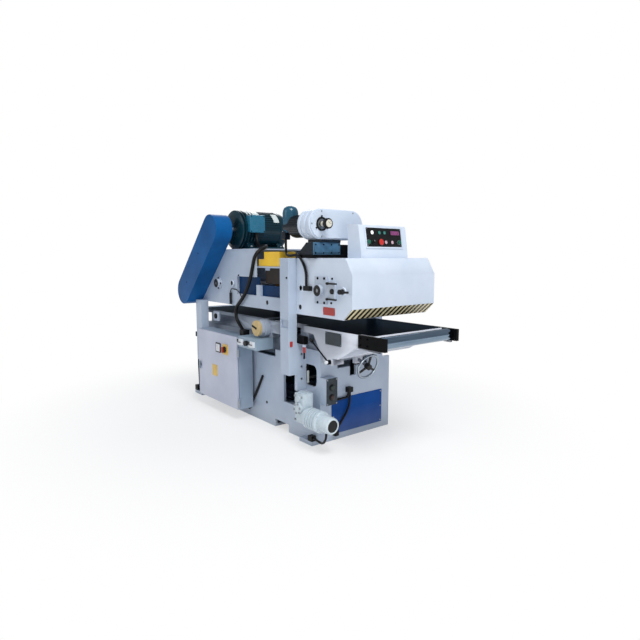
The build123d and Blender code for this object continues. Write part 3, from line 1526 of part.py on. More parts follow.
pieces = {
    "base_frame": base_frame,
    "infeed_pedestal": infeed_pedestal,
    "columns": columns,
    "guide_blocks": guide_blocks,
    "infeed_side_plates": infeed_side_plates,
    "outfeed_side_plates": outfeed_side_plates,
    "blue_panels": blue_panels,
    "infeed_hood": infeed_hood,
    "stripe_lip": stripe_lip,
    "head_deck": head_deck,
    "pressure_frame": pressure_frame,
    "pressure_hood": pressure_hood,
    "upper_cutterhead": upper_cutterhead,
    "lower_cutterhead": lower_cutterhead,
    "lower_bearings": lower_bearings,
    "cutter_motor": cutter_motor,
    "upper_rotor": upper_rotor,
    "upper_belts": upper_belts,
    "belt_guard": belt_guard,
    "infeed_drive_shaft": infeed_drive_shaft,
    "outfeed_drive_shaft": outfeed_drive_shaft,
    "infeed_feed_roller": infeed_feed_roller,
    "outfeed_feed_roller": outfeed_feed_roller,
    "head_bearings": head_bearings,
    "drive_chains": drive_chains,
    "feed_gearbox": feed_gearbox,
    "variator_case": variator_case,
    "feed_motor": feed_motor,
    "variator_knob": variator_knob,
    "console": console,
    "console_panel": console_panel,
    "start_button": start_button,
    "reset_button": reset_button,
    "stop_button": stop_button,
    "mode_selector": mode_selector,
    "bed_saddle": bed_saddle,
    "outfeed_table": outfeed_table,
    "outfeed_bed_roller": outfeed_bed_roller,
    "infeed_table": infeed_table,
    "roller_arms": roller_arms,
    "end_roller": end_roller,
    "handwheel": handwheel,
    "lock_lever": lock_lever,
    "outfeed_lift_screw": outfeed_lift_screw,
    "infeed_lift_screw": infeed_lift_screw,
    "lift_nuts": lift_nuts,
    "lift_gearmotor": lift_gearmotor,
    "lower_motor": lower_motor,
    "lower_rotor": lower_rotor,
    "lower_belts": lower_belts,
    "lower_belt_guard": lower_belt_guard,
    "clamp_box": clamp_box,
    "cabinet_body": cabinet_body,
    "cabinet_door": cabinet_door,
    "main_switch": main_switch,
    "door_latch": door_latch,
    "switch_station": switch_station,
    "lower_button": lower_button,
    "raise_button": raise_button,
    "conduits": conduits,
}

for name, piece in pieces.items():
    keep(piece, name)
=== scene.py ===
"""Double-sided planer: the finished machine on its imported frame, drawn in millimetres."""
import json
import logging
import math
from abc import ABC, abstractmethod
from collections.abc import Callable, Iterable, Sequence
from dataclasses import asdict, dataclass, fields
from enum import Enum
from itertools import product

import bmesh
import bpy
from mathutils import Matrix, Vector


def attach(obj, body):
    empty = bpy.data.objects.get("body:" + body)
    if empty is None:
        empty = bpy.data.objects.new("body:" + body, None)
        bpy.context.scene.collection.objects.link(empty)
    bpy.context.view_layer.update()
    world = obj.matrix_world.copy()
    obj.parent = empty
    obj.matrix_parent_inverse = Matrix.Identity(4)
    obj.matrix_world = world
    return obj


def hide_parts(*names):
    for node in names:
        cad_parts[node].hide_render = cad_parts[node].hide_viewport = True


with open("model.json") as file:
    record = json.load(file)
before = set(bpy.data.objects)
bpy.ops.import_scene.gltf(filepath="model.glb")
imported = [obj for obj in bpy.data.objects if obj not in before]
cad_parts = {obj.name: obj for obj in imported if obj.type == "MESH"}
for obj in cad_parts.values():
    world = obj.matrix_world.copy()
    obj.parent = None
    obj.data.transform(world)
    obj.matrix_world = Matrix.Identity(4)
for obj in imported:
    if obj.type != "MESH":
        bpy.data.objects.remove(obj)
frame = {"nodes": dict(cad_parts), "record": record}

log = logging.getLogger("planer")

MM = 0.001
TINY = 1e-6
Span = tuple[float, float]
Spot = tuple[float, float]
Row = tuple[float, ...]
Point = tuple[float, float, float]
Outline = Sequence[Spot]
Seat = tuple[Point, Point]      # place of a fastener and the way that it faces
Seats = tuple[Seat, ...]

# Bodies of the record that pieces without a node ride on
FRAME = "machine_frame"
BED = "bed"
TABLE = "table"
DOOR = "cabinet_door_body"
LOWER_CUTTERHEAD = "lower_cutterhead_body"
LOCK_LEVER = "lock_lever_body"
SPEED_KNOB = "variator_knob_body"


def linear(code: str) -> tuple[float, float, float, float]:
    """Turn an sRGB hex colour into linear RGBA.

    Args:
        code: colour such as "#C6CCDA".

    Returns:
        Linear red, green, blue and an alpha of 1.
    """
    parts = [int(code[i:i + 2], 16) / 255 for i in (1, 3, 5)]
    return (*(p / 12.92 if p <= 0.04045 else ((p + 0.055) / 1.055) ** 2.4 for p in parts), 1.0)


def add_node(tree: bpy.types.NodeTree, kind: str, sockets: dict | None = None, stops: Sequence | None = None,
             **settings: object) -> bpy.types.Node:
    """Add a node with its settings, constants and links.

    Args:
        tree: node tree that receives the node.
        kind: node type.
        sockets: input name or index, with a constant or the output that feeds it.
        stops: colour ramp stops as (place, hex colour).
        settings: properties of the node.

    Returns:
        The new node.
    """
    node = tree.nodes.new(kind)
    for key, value in settings.items():
        setattr(node, key, value)
    for key, value in (sockets or {}).items():
        if isinstance(value, bpy.types.NodeSocket):
            tree.links.new(value, node.inputs[key])
        else:
            node.inputs[key].default_value = value
    if stops:
        ramp = node.color_ramp
        while len(ramp.elements) < len(stops):
            ramp.elements.new(1.0)
        for element, (place, code) in zip(ramp.elements, stops):
            element.position = place
            element.color = linear(code)
    return node


# Finishes


class Along(Enum):
    """Direction that machining marks run in."""

    X = (1, 0, 0)
    Y = (0, 1, 0)
    Z = (0, 0, 1)


@dataclass(frozen=True)
class Finish(ABC):
    """A real material and how its surface was made."""

    name: str

    def material(self) -> bpy.types.Material:
        """Return the finish as a material, made once.

        Returns:
            The material.
        """
        made = bpy.data.materials.get(self.name)
        if made is None:
            made = bpy.data.materials.new(self.name)
            made.use_nodes = True
            tree = made.node_tree
            tree.nodes.clear()
            place = add_node(tree, "ShaderNodeTexCoord").outputs["Object"]
            shader = self.shade(tree, place)
            add_node(tree, "ShaderNodeOutputMaterial", {"Surface": shader.outputs[0]})
        return made

    @abstractmethod
    def shade(self, tree: bpy.types.NodeTree, place: bpy.types.NodeSocket) -> bpy.types.Node:
        """Build the shader nodes.

        Args:
            tree: the material's node tree.
            place: socket of the place on the piece.

        Returns:
            The shader node.
        """


@dataclass(frozen=True)
class Enamel(Finish):
    """Sprayed machine enamel: soft sheen, orange peel, faint cloudiness, rubbed patches and floor dust."""

    colour: str
    cloud: str
    rub: str
    roughness: float = 0.36
    cloud_mm: float = 260.0
    cloud_stops: Span = (0.32, 0.68)
    rub_mm: float = 34.0
    rub_range: Span = (0.64, 0.8)       # noise at which rubbing starts and is fullest
    rub_most: float = 0.35
    sheen_range: Span = (0.3, 0.75)
    sheen_change: Span = (-0.06, 0.1)   # of the roughness, over that range
    peel_mm: float = 5.0                # drawn coarser than real orange peel so that it shows
    peel: float = 0.06
    peel_depth: float = 0.001
    dust: str = "#A3A6A8"
    dust_top: float = 0.22              # height in metres that floor dust reaches
    dust_most: float = 0.42
    shine: float = 0.5
    coat: float = 0.12
    coat_roughness: float = 0.2

    def shade(self, tree: bpy.types.NodeTree, place: bpy.types.NodeSocket) -> bpy.types.Node:
        """Build the enamel's nodes.

        Args:
            tree: the material's node tree.
            place: socket of the place on the piece.

        Returns:
            The shader node.
        """
        clouds = add_node(tree, "ShaderNodeTexNoise", {
            "Vector": place, "Scale": 1 / (self.cloud_mm * MM), "Detail": 3.0, "Roughness": 0.55})
        body = add_node(tree, "ShaderNodeValToRGB", {"Fac": clouds.outputs[0]},
                        stops=tuple(zip(self.cloud_stops, (self.cloud, self.colour))))
        rubs = add_node(tree, "ShaderNodeTexNoise", {
            "Vector": place, "Scale": 1 / (self.rub_mm * MM), "Detail": 8.0, "Roughness": 0.72})
        rub_mask = add_node(tree, "ShaderNodeMapRange", {
            "Value": rubs.outputs[0], "From Min": self.rub_range[0], "From Max": self.rub_range[1],
            "To Max": self.rub_most})
        worn = add_node(tree, "ShaderNodeMix", {
            "Factor": rub_mask.outputs[0], 6: body.outputs[0], 7: linear(self.rub)}, data_type="RGBA")
        height = add_node(tree, "ShaderNodeSeparateXYZ", {"Vector": place})
        low = add_node(tree, "ShaderNodeMapRange", {
            "Value": height.outputs["Z"], "From Min": 0.0, "From Max": self.dust_top,
            "To Min": self.dust_most, "To Max": 0.0})
        settled = add_node(tree, "ShaderNodeMath", {0: low.outputs[0], 1: clouds.outputs[0]},
                           operation="MULTIPLY")
        dusty = add_node(tree, "ShaderNodeMix", {
            "Factor": settled.outputs[0], 6: worn.outputs[2], 7: linear(self.dust)}, data_type="RGBA")
        smoothest, dullest = (self.roughness + change for change in self.sheen_change)
        gloss = add_node(tree, "ShaderNodeMapRange", {
            "Value": rubs.outputs[0], "From Min": self.sheen_range[0], "From Max": self.sheen_range[1],
            "To Min": smoothest, "To Max": dullest})
        skin = add_node(tree, "ShaderNodeTexNoise", {
            "Vector": place, "Scale": 1 / (self.peel_mm * MM), "Detail": 2.0})
        bump = add_node(tree, "ShaderNodeBump", {
            "Height": skin.outputs[0], "Strength": self.peel, "Distance": self.peel_depth})
        return add_node(tree, "ShaderNodeBsdfPrincipled", {
            "Base Color": dusty.outputs[2], "Roughness": gloss.outputs[0], "Normal": bump.outputs[0],
            "Specular IOR Level": self.shine, "Coat Weight": self.coat,
            "Coat Roughness": self.coat_roughness})


@dataclass(frozen=True)
class Metal(Finish):
    """Bare metal with machining marks in one direction: streaks in its gloss and a faint relief."""

    colour: str
    dark: str
    roughness: float
    spread: float
    mark_mm: float
    along: Along = Along.Y
    relief: float = 0.05
    rim: str = "#FFFFFF"
    stretch: float = 0.02               # scale of the noise along the marks
    tint_stops: Span = (0.3, 0.7)
    sheen_range: Span = (0.25, 0.75)
    mark_depth: float = 0.0005

    def shade(self, tree: bpy.types.NodeTree, place: bpy.types.NodeSocket) -> bpy.types.Node:
        """Build the metal's nodes.

        Args:
            tree: the material's node tree.
            place: socket of the place on the piece.

        Returns:
            The shader node.
        """
        scale = tuple(self.stretch if axis else 1.0 for axis in self.along.value)
        drawn = add_node(tree, "ShaderNodeMapping", {"Vector": place, "Scale": scale})
        marks = add_node(tree, "ShaderNodeTexNoise", {
            "Vector": drawn.outputs[0], "Scale": 1 / (self.mark_mm * MM), "Detail": 6.0, "Roughness": 0.65})
        tint = add_node(tree, "ShaderNodeValToRGB", {"Fac": marks.outputs[0]},
                        stops=tuple(zip(self.tint_stops, (self.dark, self.colour))))
        gloss = add_node(tree, "ShaderNodeMapRange", {
            "Value": marks.outputs[0], "From Min": self.sheen_range[0], "From Max": self.sheen_range[1],
            "To Min": self.roughness, "To Max": self.roughness + self.spread})
        bump = add_node(tree, "ShaderNodeBump", {
            "Height": marks.outputs[0], "Strength": self.relief, "Distance": self.mark_depth})
        return add_node(tree, "ShaderNodeBsdfPrincipled", {
            "Base Color": tint.outputs[0], "Metallic": 1.0, "Roughness": gloss.outputs[0],
            "Specular Tint": linear(self.rim), "Normal": bump.outputs[0]})


@dataclass(frozen=True)
class Moulded(Finish):
    """Moulded plastic or rubber: fine spark grain and a slightly uneven sheen."""

    colour: str
    cloud: str
    roughness: float = 0.45
    grain_mm: float = 2.5
    grain: float = 0.12
    coat: float = 0.0
    shine: float = 0.35
    cloud_mm: float = 40.0
    cloud_stops: Span = (0.3, 0.7)
    sheen_change: Span = (-0.05, 0.08)  # of the roughness, between the stops
    grain_depth: float = 0.0004
    coat_roughness: float = 0.08

    def shade(self, tree: bpy.types.NodeTree, place: bpy.types.NodeSocket) -> bpy.types.Node:
        """Build the plastic's nodes.

        Args:
            tree: the material's node tree.
            place: socket of the place on the piece.

        Returns:
            The shader node.
        """
        clouds = add_node(tree, "ShaderNodeTexNoise", {
            "Vector": place, "Scale": 1 / (self.cloud_mm * MM), "Detail": 4.0, "Roughness": 0.6})
        body = add_node(tree, "ShaderNodeValToRGB", {"Fac": clouds.outputs[0]},
                        stops=tuple(zip(self.cloud_stops, (self.cloud, self.colour))))
        smoothest, dullest = (self.roughness + change for change in self.sheen_change)
        gloss = add_node(tree, "ShaderNodeMapRange", {
            "Value": clouds.outputs[0], "From Min": self.cloud_stops[0], "From Max": self.cloud_stops[1],
            "To Min": smoothest, "To Max": dullest})
        grains = add_node(tree, "ShaderNodeTexVoronoi", {
            "Vector": place, "Scale": 1 / (self.grain_mm * MM)})
        bump = add_node(tree, "ShaderNodeBump", {
            "Height": grains.outputs["Distance"], "Strength": self.grain, "Distance": self.grain_depth})
        return add_node(tree, "ShaderNodeBsdfPrincipled", {
            "Base Color": body.outputs[0], "Roughness": gloss.outputs[0], "Normal": bump.outputs[0],
            "Specular IOR Level": self.shine, "Coat Weight": self.coat,
            "Coat Roughness": self.coat_roughness})


@dataclass(frozen=True)
class HazardStripes(Finish):
    """Masked slanting stripes in two enamels on a leaning sheet, with an uneven sheen."""

    light: str
    dark: str
    pitch_mm: float
    rise: Point                         # the way up the sheet
    across: Point = (0, 1, 0)
    lean: float = 0.12                  # run across the sheet per length up it
    light_share: float = 0.5
    wear_mm: float = 18.0
    wear_range: Span = (0.3, 0.7)
    roughness: Span = (0.34, 0.5)
    shine: float = 0.35

    def shade(self, tree: bpy.types.NodeTree, place: bpy.types.NodeSocket) -> bpy.types.Node:
        """Build the stripes' nodes.

        Args:
            tree: the material's node tree.
            place: socket of the place on the piece.

        Returns:
            The shader node.
        """
        pitch = self.pitch_mm * MM
        slant = tuple((side - self.lean * up) / pitch for side, up in zip(self.across, self.rise))
        run = add_node(tree, "ShaderNodeVectorMath", {0: place, 1: slant}, operation="DOT_PRODUCT")
        band = add_node(tree, "ShaderNodeMath", {0: run.outputs["Value"]}, operation="FRACT")
        paint = add_node(tree, "ShaderNodeValToRGB", {"Fac": band.outputs[0]},
                         stops=((0.0, self.light), (self.light_share, self.dark)))
        paint.color_ramp.interpolation = "CONSTANT"
        wear = add_node(tree, "ShaderNodeTexNoise", {
            "Vector": place, "Scale": 1 / (self.wear_mm * MM), "Detail": 7.0})
        gloss = add_node(tree, "ShaderNodeMapRange", {
            "Value": wear.outputs[0], "From Min": self.wear_range[0], "From Max": self.wear_range[1],
            "To Min": self.roughness[0], "To Max": self.roughness[1]})
        return add_node(tree, "ShaderNodeBsdfPrincipled", {
            "Base Color": paint.outputs[0], "Roughness": gloss.outputs[0],
            "Specular IOR Level": self.shine})


@dataclass(frozen=True)
class Lens(Finish):
    """Ribbed lens of a lamp or a film window: glossy, lit a little from behind."""

    colour: str
    edge: str
    glow: float = 0.25
    rib_mm: float = 3.0
    rib_stops: Span = (0.1, 0.8)
    rib_height: float = 0.2
    rib_depth: float = 0.0005
    roughness: float = 0.12

    def shade(self, tree: bpy.types.NodeTree, place: bpy.types.NodeSocket) -> bpy.types.Node:
        """Build the lens's nodes.

        Args:
            tree: the material's node tree.
            place: socket of the place on the piece.

        Returns:
            The shader node.
        """
        # The wave texture runs through 20 radians per unit of scale, so this gives one rib per rib_mm
        ribs = add_node(tree, "ShaderNodeTexWave", {
            "Vector": place, "Scale": math.pi / 10 / (self.rib_mm * MM)}, bands_direction="Y")
        tint = add_node(tree, "ShaderNodeValToRGB", {"Fac": ribs.outputs[0]},
                        stops=tuple(zip(self.rib_stops, (self.edge, self.colour))))
        bump = add_node(tree, "ShaderNodeBump", {
            "Height": ribs.outputs[0], "Strength": self.rib_height, "Distance": self.rib_depth})
        return add_node(tree, "ShaderNodeBsdfPrincipled", {
            "Base Color": tint.outputs[0], "Roughness": self.roughness, "Normal": bump.outputs[0],
            "Emission Color": tint.outputs[0], "Emission Strength": self.glow})


# Sprayed two-pack enamels: soft sheen over a faint cloudiness, darker where hands and dust have rubbed
GREY = Enamel("pale grey machine enamel", "#B9C5D6", "#ABB9CC", "#93A2B6")
CAST_GREY = Enamel("pale grey enamel on cast iron", "#BCC5D3", "#ABB6C6", "#93A0B1", peel_mm=9.0, peel=0.2)
# The apron's enamel is lightened as painted light against the table's shadow over it
APRON = Enamel("pale lilac enamel on cast iron lightened as painted light", "#E4E8F2", "#D9DEEA", "#BAC1D1", peel_mm=9.0, peel=0.2)
CLAMP_GREY = Enamel("grey blue clamp enamel", "#9AAEBE", "#8DA2B3", "#768B9C")
# The cabinet body is the door's paint darkened as painted shade
SHADED_CABINET_GREY = Enamel("mid grey cabinet enamel darkened as painted shade", "#9AAABD", "#8C9DB1", "#77889D")
DOOR_GREY = Enamel("lilac grey door enamel", "#C6CADB", "#BABFD2", "#A2A8BC")
WHITE = Enamel("white machine enamel", "#D8E2F0", "#CDD9E9", "#B5C2D4")
DRIVE_GREY = Enamel("light grey gear enamel", "#D2DEE4", "#B9C8D2", "#98A9B6",
                    roughness=0.26, peel_mm=8.0, peel=0.18)
BLUE = Enamel("mid blue machine enamel", "#135FA0", "#0E5089", "#083A68", shine=0.12, coat=0.0)
DEEP_BLUE = Enamel("deep blue panel enamel", "#0A4C9C", "#084189", "#06316A",
                   roughness=0.4, shine=0.1, coat=0.0)
# Blue of the panels behind the outfeed windows, darkened as painted shade in the recess
SHADED_WINDOW_BLUE = Enamel("blue panel enamel darkened as painted shade", "#0C3A68", "#0A2E54", "#07203C", shine=0.1, coat=0.0)
TEAL = Enamel("dark teal motor enamel", "#0C3542", "#08242F", "#05161D", roughness=0.22, peel=0.1, shine=0.25)
BOX_TEAL = Enamel("mid teal terminal box enamel", "#2A7796", "#226682", "#174A60", roughness=0.26)
DOME_TEAL = Enamel("teal cover enamel", "#1D5A72", "#164860", "#0E3244", roughness=0.24)
# Dark primer that darkens recesses as painted shade: the arch at the floor, the pedestal's inside and the
# back cover's inner face
SHADE_PRIMER = Enamel("dark grey primer as painted shade", "#22272C", "#191D21", "#101316", roughness=0.6, shine=0.2, coat=0.0)
# Shaded and lit copies of one blue: the black blue is painted shade on the gearbox and feed motor, the grey
# blue is painted light on the gearbox's infeed side and cover
SHADED_NAVY = Enamel("black blue enamel as painted shade", "#101E2B", "#0B161F", "#070E15",
              roughness=0.3, peel=0.15, shine=0.3)
LIT_GEAR_BLUE = Enamel("grey blue enamel as painted light", "#4A7797", "#3A617D", "#294A62",
                   roughness=0.32, cloud_mm=40.0, peel=0.2)
YELLOW = Enamel("yellow guard enamel", "#FFD23A", "#F4C02C", "#CDA028")
PALE_HOOD = Enamel("cream guard enamel", "#E4C79C", "#D0A77A", "#A87F56", cloud_mm=22.0)
CREAM = Enamel("cream disc enamel", "#D4BA82", "#C4A66A", "#A88B58", cloud_mm=40.0)
BLACK = Enamel("black machine enamel", "#07080A", "#050607", "#101214", roughness=0.42, shine=0.08, coat=0.0)
RED = Enamel("red marker enamel", "#BE3A32", "#A82E29", "#7E2420")
SLATE = Enamel("slate grey plate enamel", "#2C3840", "#222D34", "#1A2228", cloud_mm=60.0, shine=0.3)
PLATE = Enamel("pale bare plate", "#E2EAE8", "#D3DDDC", "#B6C2C2", cloud_mm=60.0)
SWITCH_YELLOW = Enamel("yellow switch plate", "#E6BE4E", "#D8AC40", "#B08A36", cloud_mm=50.0)
# The cream stripes are lightened as painted light, since the lip faces down into shade
STRIPES = HazardStripes("black and cream stripes", "#FFF1C4", "#100F0C", 46.0, (0.731, 0.0, 0.682))
# Bare metals: tool marks run one way and streak the reflection
# Table tops: ground iron darkened as painted shade and dark reflection, with a bluish rim tint as a painted
# reflection
TABLE_STEEL = Metal("ground cast iron table darkened as painted shade", "#242A30", "#12161A", 0.26, 0.14, 3.0, Along.X, 0.08, "#6F8698")
STEEL = Metal("turned steel", "#A7ADB4", "#7B828A", 0.24, 0.18, 2.0)
CHROME = Metal("hard chrome", "#8A9EB1", "#6B7F92", 0.07, 0.08, 4.0, Along.Y, 0.02)
BRIGHT_RIM = Metal("polished chrome rim", "#C2CCD6", "#8A96A4", 0.08, 0.1, 6.0, Along.Z, 0.02)
ZINC = Metal("zinc plated steel", "#B7BDC3", "#8D949B", 0.28, 0.2, 6.0)
OXIDE = Metal("black oxide steel", "#1C1F23", "#0C0E10", 0.38, 0.2, 5.0)
BRONZE = Metal("turned bronze", "#A87A40", "#6E4C22", 0.26, 0.16, 2.0, Along.Z)
# Moulded plastics and rubber: fine spark grain under an uneven sheen
NYLON = Moulded("black moulded nylon", "#0D0E10", "#08090A")
UMBER = Moulded("dark brown moulded case", "#2B2119", "#17110C", 0.5, 9.0, 0.3)
CONDUIT = Moulded("black ribbed conduit", "#0E0F11", "#08090A", 0.46, 7.0, 0.6, shine=0.25)
RUBBER = Moulded("black rubber", "#141515", "#0D0D0D", 0.68)
WHITE_ABS = Moulded("white moulded plastic", "#E8EBEF", "#DADEE4", 0.36)
PALE_FACE = Moulded("pale dial face", "#E6E2D4", "#D6D0BE", 0.34)
RED_CAP = Moulded("red moulded cap", "#D2322B", "#B8241F", 0.26, coat=0.5)
ORANGE_CAP = Moulded("orange red switch knob", "#B03E18", "#8E2C0F", 0.3, coat=0.3)
GREEN_CAP = Moulded("green moulded cap", "#24705A", "#1A5543", 0.28, coat=0.4)
DARK_GREEN = Moulded("dark green cap", "#1C302C", "#142421", 0.32, coat=0.3)
DARK_RED = Moulded("dark red cap", "#3C2022", "#2C1618", 0.32, coat=0.3)
# Lamp lenses and display film: ribbed, glossy and faintly lit from behind
WHITE_LENS = Lens("white lamp lens", "#FFFFFF", "#DDE3E8", 0.5)
GREEN_LENS = Lens("green lamp lens", "#4F9A90", "#123B38", 0.15)
ROSE_LENS = Lens("rose lamp lens", "#E2C4CE", "#7C5866", 0.2)
DISPLAY = Lens("violet display film", "#A8558F", "#2A1233", 0.2, 8.0)

# From the middle and the normal of a face to its finish
Picker = Callable[[Vector, Vector], Finish]


# Frames and outlines

ORIGIN: Point = (0, 0, 0)
NEAR: Point = (0, -1, 0)
FAR: Point = (0, 1, 0)
INFEED: Point = (1, 0, 0)
UP: Point = (0, 0, 1)


def facing(origin: Point, direction: Point, across: Point = FAR) -> Matrix:
    """Frame whose Z runs along a direction.

    Args:
        origin: where it stands.
        direction: its Z.
        across: its X, as near as it goes.

    Returns:
        Matrix from the local frame to the machine's.
    """
    z = Vector(direction).normalized()
    x = Vector(across)
    x = x - z * x.dot(z)
    if x.length < TINY:
        x = z.orthogonal()
    x.normalize()
    y = z.cross(x)
    return Matrix.Translation(origin) @ Matrix((x, y, z)).transposed().to_4x4()


def along_x(y: float, z: float) -> Matrix:
    """Frame of a round piece that runs along X."""
    return facing((0, y, z), INFEED)


def along_y(x: float, z: float) -> Matrix:
    """Frame of a round piece that runs along Y."""
    return facing((x, 0, z), FAR, INFEED)


def along_z(x: float, y: float) -> Matrix:
    """Frame of an upright round piece."""
    return facing((x, y, 0), UP, INFEED)


def near_face(x: float, y: float, z: float) -> Matrix:
    """Frame on a face that looks to the operator's side, with X along the machine and Y up."""
    return facing((x, y, z), NEAR, INFEED)


def near_axis(x: float, z: float) -> Matrix:
    """Frame of a round piece that runs to the operator's side from the machine's middle."""
    return near_face(x, 0, z)


def spun(place: Matrix, turn: float) -> Matrix:
    """A frame turned about its own Z by some degrees."""
    return place @ Matrix.Rotation(math.radians(turn), 4, "Z")


def moved(place: Matrix, x: float = 0, y: float = 0, z: float = 0) -> Matrix:
    """A frame moved along its own axes."""
    return place @ Matrix.Translation((x, y, z))


# Takes an outline in X and Z and draws it along Y
ACROSS = facing(ORIGIN, FAR, INFEED) @ Matrix.Diagonal((1, -1, 1, 1))


def polar(radius: float, angle: float, centre: Spot = (0.0, 0.0)) -> Spot:
    """Place on a circle, its angle in radians."""
    return centre[0] + radius * math.cos(angle), centre[1] + radius * math.sin(angle)


def rounded_outline(width: float, height: float, corner: float, steps: int = 6) -> list[Spot]:
    """Rectangle with rounded corners about the middle.

    Args:
        width: along local X.
        height: along local Y.
        corner: corner radius.
        steps: segments of each corner.

    Returns:
        Its points, anticlockwise.
    """
    points = []
    for quarter, (sx, sy) in enumerate(((1, 1), (-1, 1), (-1, -1), (1, -1))):
        centre = (sx * (width / 2 - corner), sy * (height / 2 - corner))
        for step in range(steps + 1):
            points.append(polar(corner, math.radians(90 * quarter + 90 * step / steps), centre))
    return points


def belt_outline(first: Spot, second: Spot, radius: float, steps: int = 28) -> list[Spot]:
    """Outline round two equal circles.

    Args:
        first: centre of one circle.
        second: centre of the other.
        radius: of both.
        steps: segments of each half circle.

    Returns:
        Its points in order.
    """
    turn = math.atan2(second[1] - first[1], second[0] - first[0])
    points = []
    for centre, start in ((second, turn - math.pi / 2), (first, turn + math.pi / 2)):
        points += [polar(radius, start + math.pi * step / steps, centre) for step in range(steps + 1)]
    return points


def arc_outline(centre: Spot, radii: Span, angles: Span, steps: int = 12) -> list[Spot]:
    """Outline of a strip bent round a centre.

    Args:
        centre: of the bend.
        radii: inner and outer radius.
        angles: first and last angle in degrees.
        steps: segments along the strip.

    Returns:
        Its points in order.
    """
    turns = [math.radians(angles[0] + (angles[1] - angles[0]) * i / steps) for i in range(steps + 1)]
    inner, outer = ([polar(radius, turn, centre) for turn in turns] for radius in radii)
    return outer + inner[::-1]


def grooves(starts: Row, radius: float, depth: float, width: float, slope: float) -> list[Spot]:
    """Profile points of grooves with sloping walls, cut round a drum.

    Args:
        starts: where they begin along the axis.
        radius: of the drum.
        depth: of each groove.
        width: of each groove at the drum's surface.
        slope: part of the width that each wall takes.

    Returns:
        (along, radius) points.
    """
    cut = ((0, 0), (slope, depth), (width - slope, depth), (width, 0))
    return [(start + along, radius - sunk) for start in starts for along, sunk in cut]


# Meshes

MERGE_MM = 0.005                    # corners of a solid's triangles this near are one
CUT_MM = 0.001
SAME_FACE = math.radians(0.6)       # triangles that meet under this angle are one face
SHARP_EDGE = math.radians(38)       # edges of a solid over this angle are rounded
OUTLINE_RIM = math.radians(50)      # edges of a drawn outline over this angle are rounded
SMOOTH = math.radians(40)           # faces that meet under this angle run on smoothly
SMOOTH_REPEAT = math.radians(35)
FLAT_WEIGHT = 100                   # hold of large faces over the shading of their rounded edges


@dataclass(frozen=True)
class Block:
    """A box: its low and high X, Y and Z, and the rounding of its edges."""

    x: Span
    y: Span
    z: Span
    edge: float = 2.0


@dataclass(frozen=True)
class Turning:
    """A round piece: (along, radius) points from one end to the other, and segments round its axis."""

    profile: Outline
    steps: int = 32


@dataclass(frozen=True)
class Slab:
    """A plate with rounded corners: its sizes, corner radius, low and high Z, and rounding of its rims."""

    width: float
    height: float
    corner: float
    span: Span
    edge: float = 0.0


class Made(Enum):
    """How a piece that stands in for a node was made, as its name says."""

    DRESSED = "dressed"
    NEW = "made"


def soften(shell: bmesh.types.BMesh, edges: Sequence, width: float, segments: int = 2) -> None:
    """Round some edges of a shell.

    Args:
        shell: the shell.
        edges: edges of it.
        width: of the rounding.
        segments: steps across it.
    """
    if edges:
        bmesh.ops.bevel(shell, geom=edges, offset=width, offset_type="OFFSET", segments=segments,
                        profile=0.5, affect="EDGES", clamp_overlap=True)


def settle(piece: bpy.types.Object) -> None:
    """Turn a piece with its modifiers into a plain mesh.

    Args:
        piece: object whose modifiers are worked into its mesh and removed.
    """
    graph = bpy.context.evaluated_depsgraph_get()
    made = bpy.data.meshes.new_from_object(piece.evaluated_get(graph), preserve_all_data_layers=True,
                                           depsgraph=graph)
    piece.modifiers.clear()
    old = piece.data
    piece.data = made
    made.name = piece.name
    bpy.data.meshes.remove(old)


def enrol(piece: bpy.types.Object, body: str, stands_for: Iterable[str] = ()) -> None:
    """Tell the frame about a finished piece, and report it.

    Args:
        piece: the finished object.
        body: the body that it rides on.
        stands_for: nodes that it stands for.
    """
    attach(piece, body)
    if stands_for:
        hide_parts(*stands_for)
    log.info("%s on %s, %d faces", piece.name, body, len(piece.data.polygons))


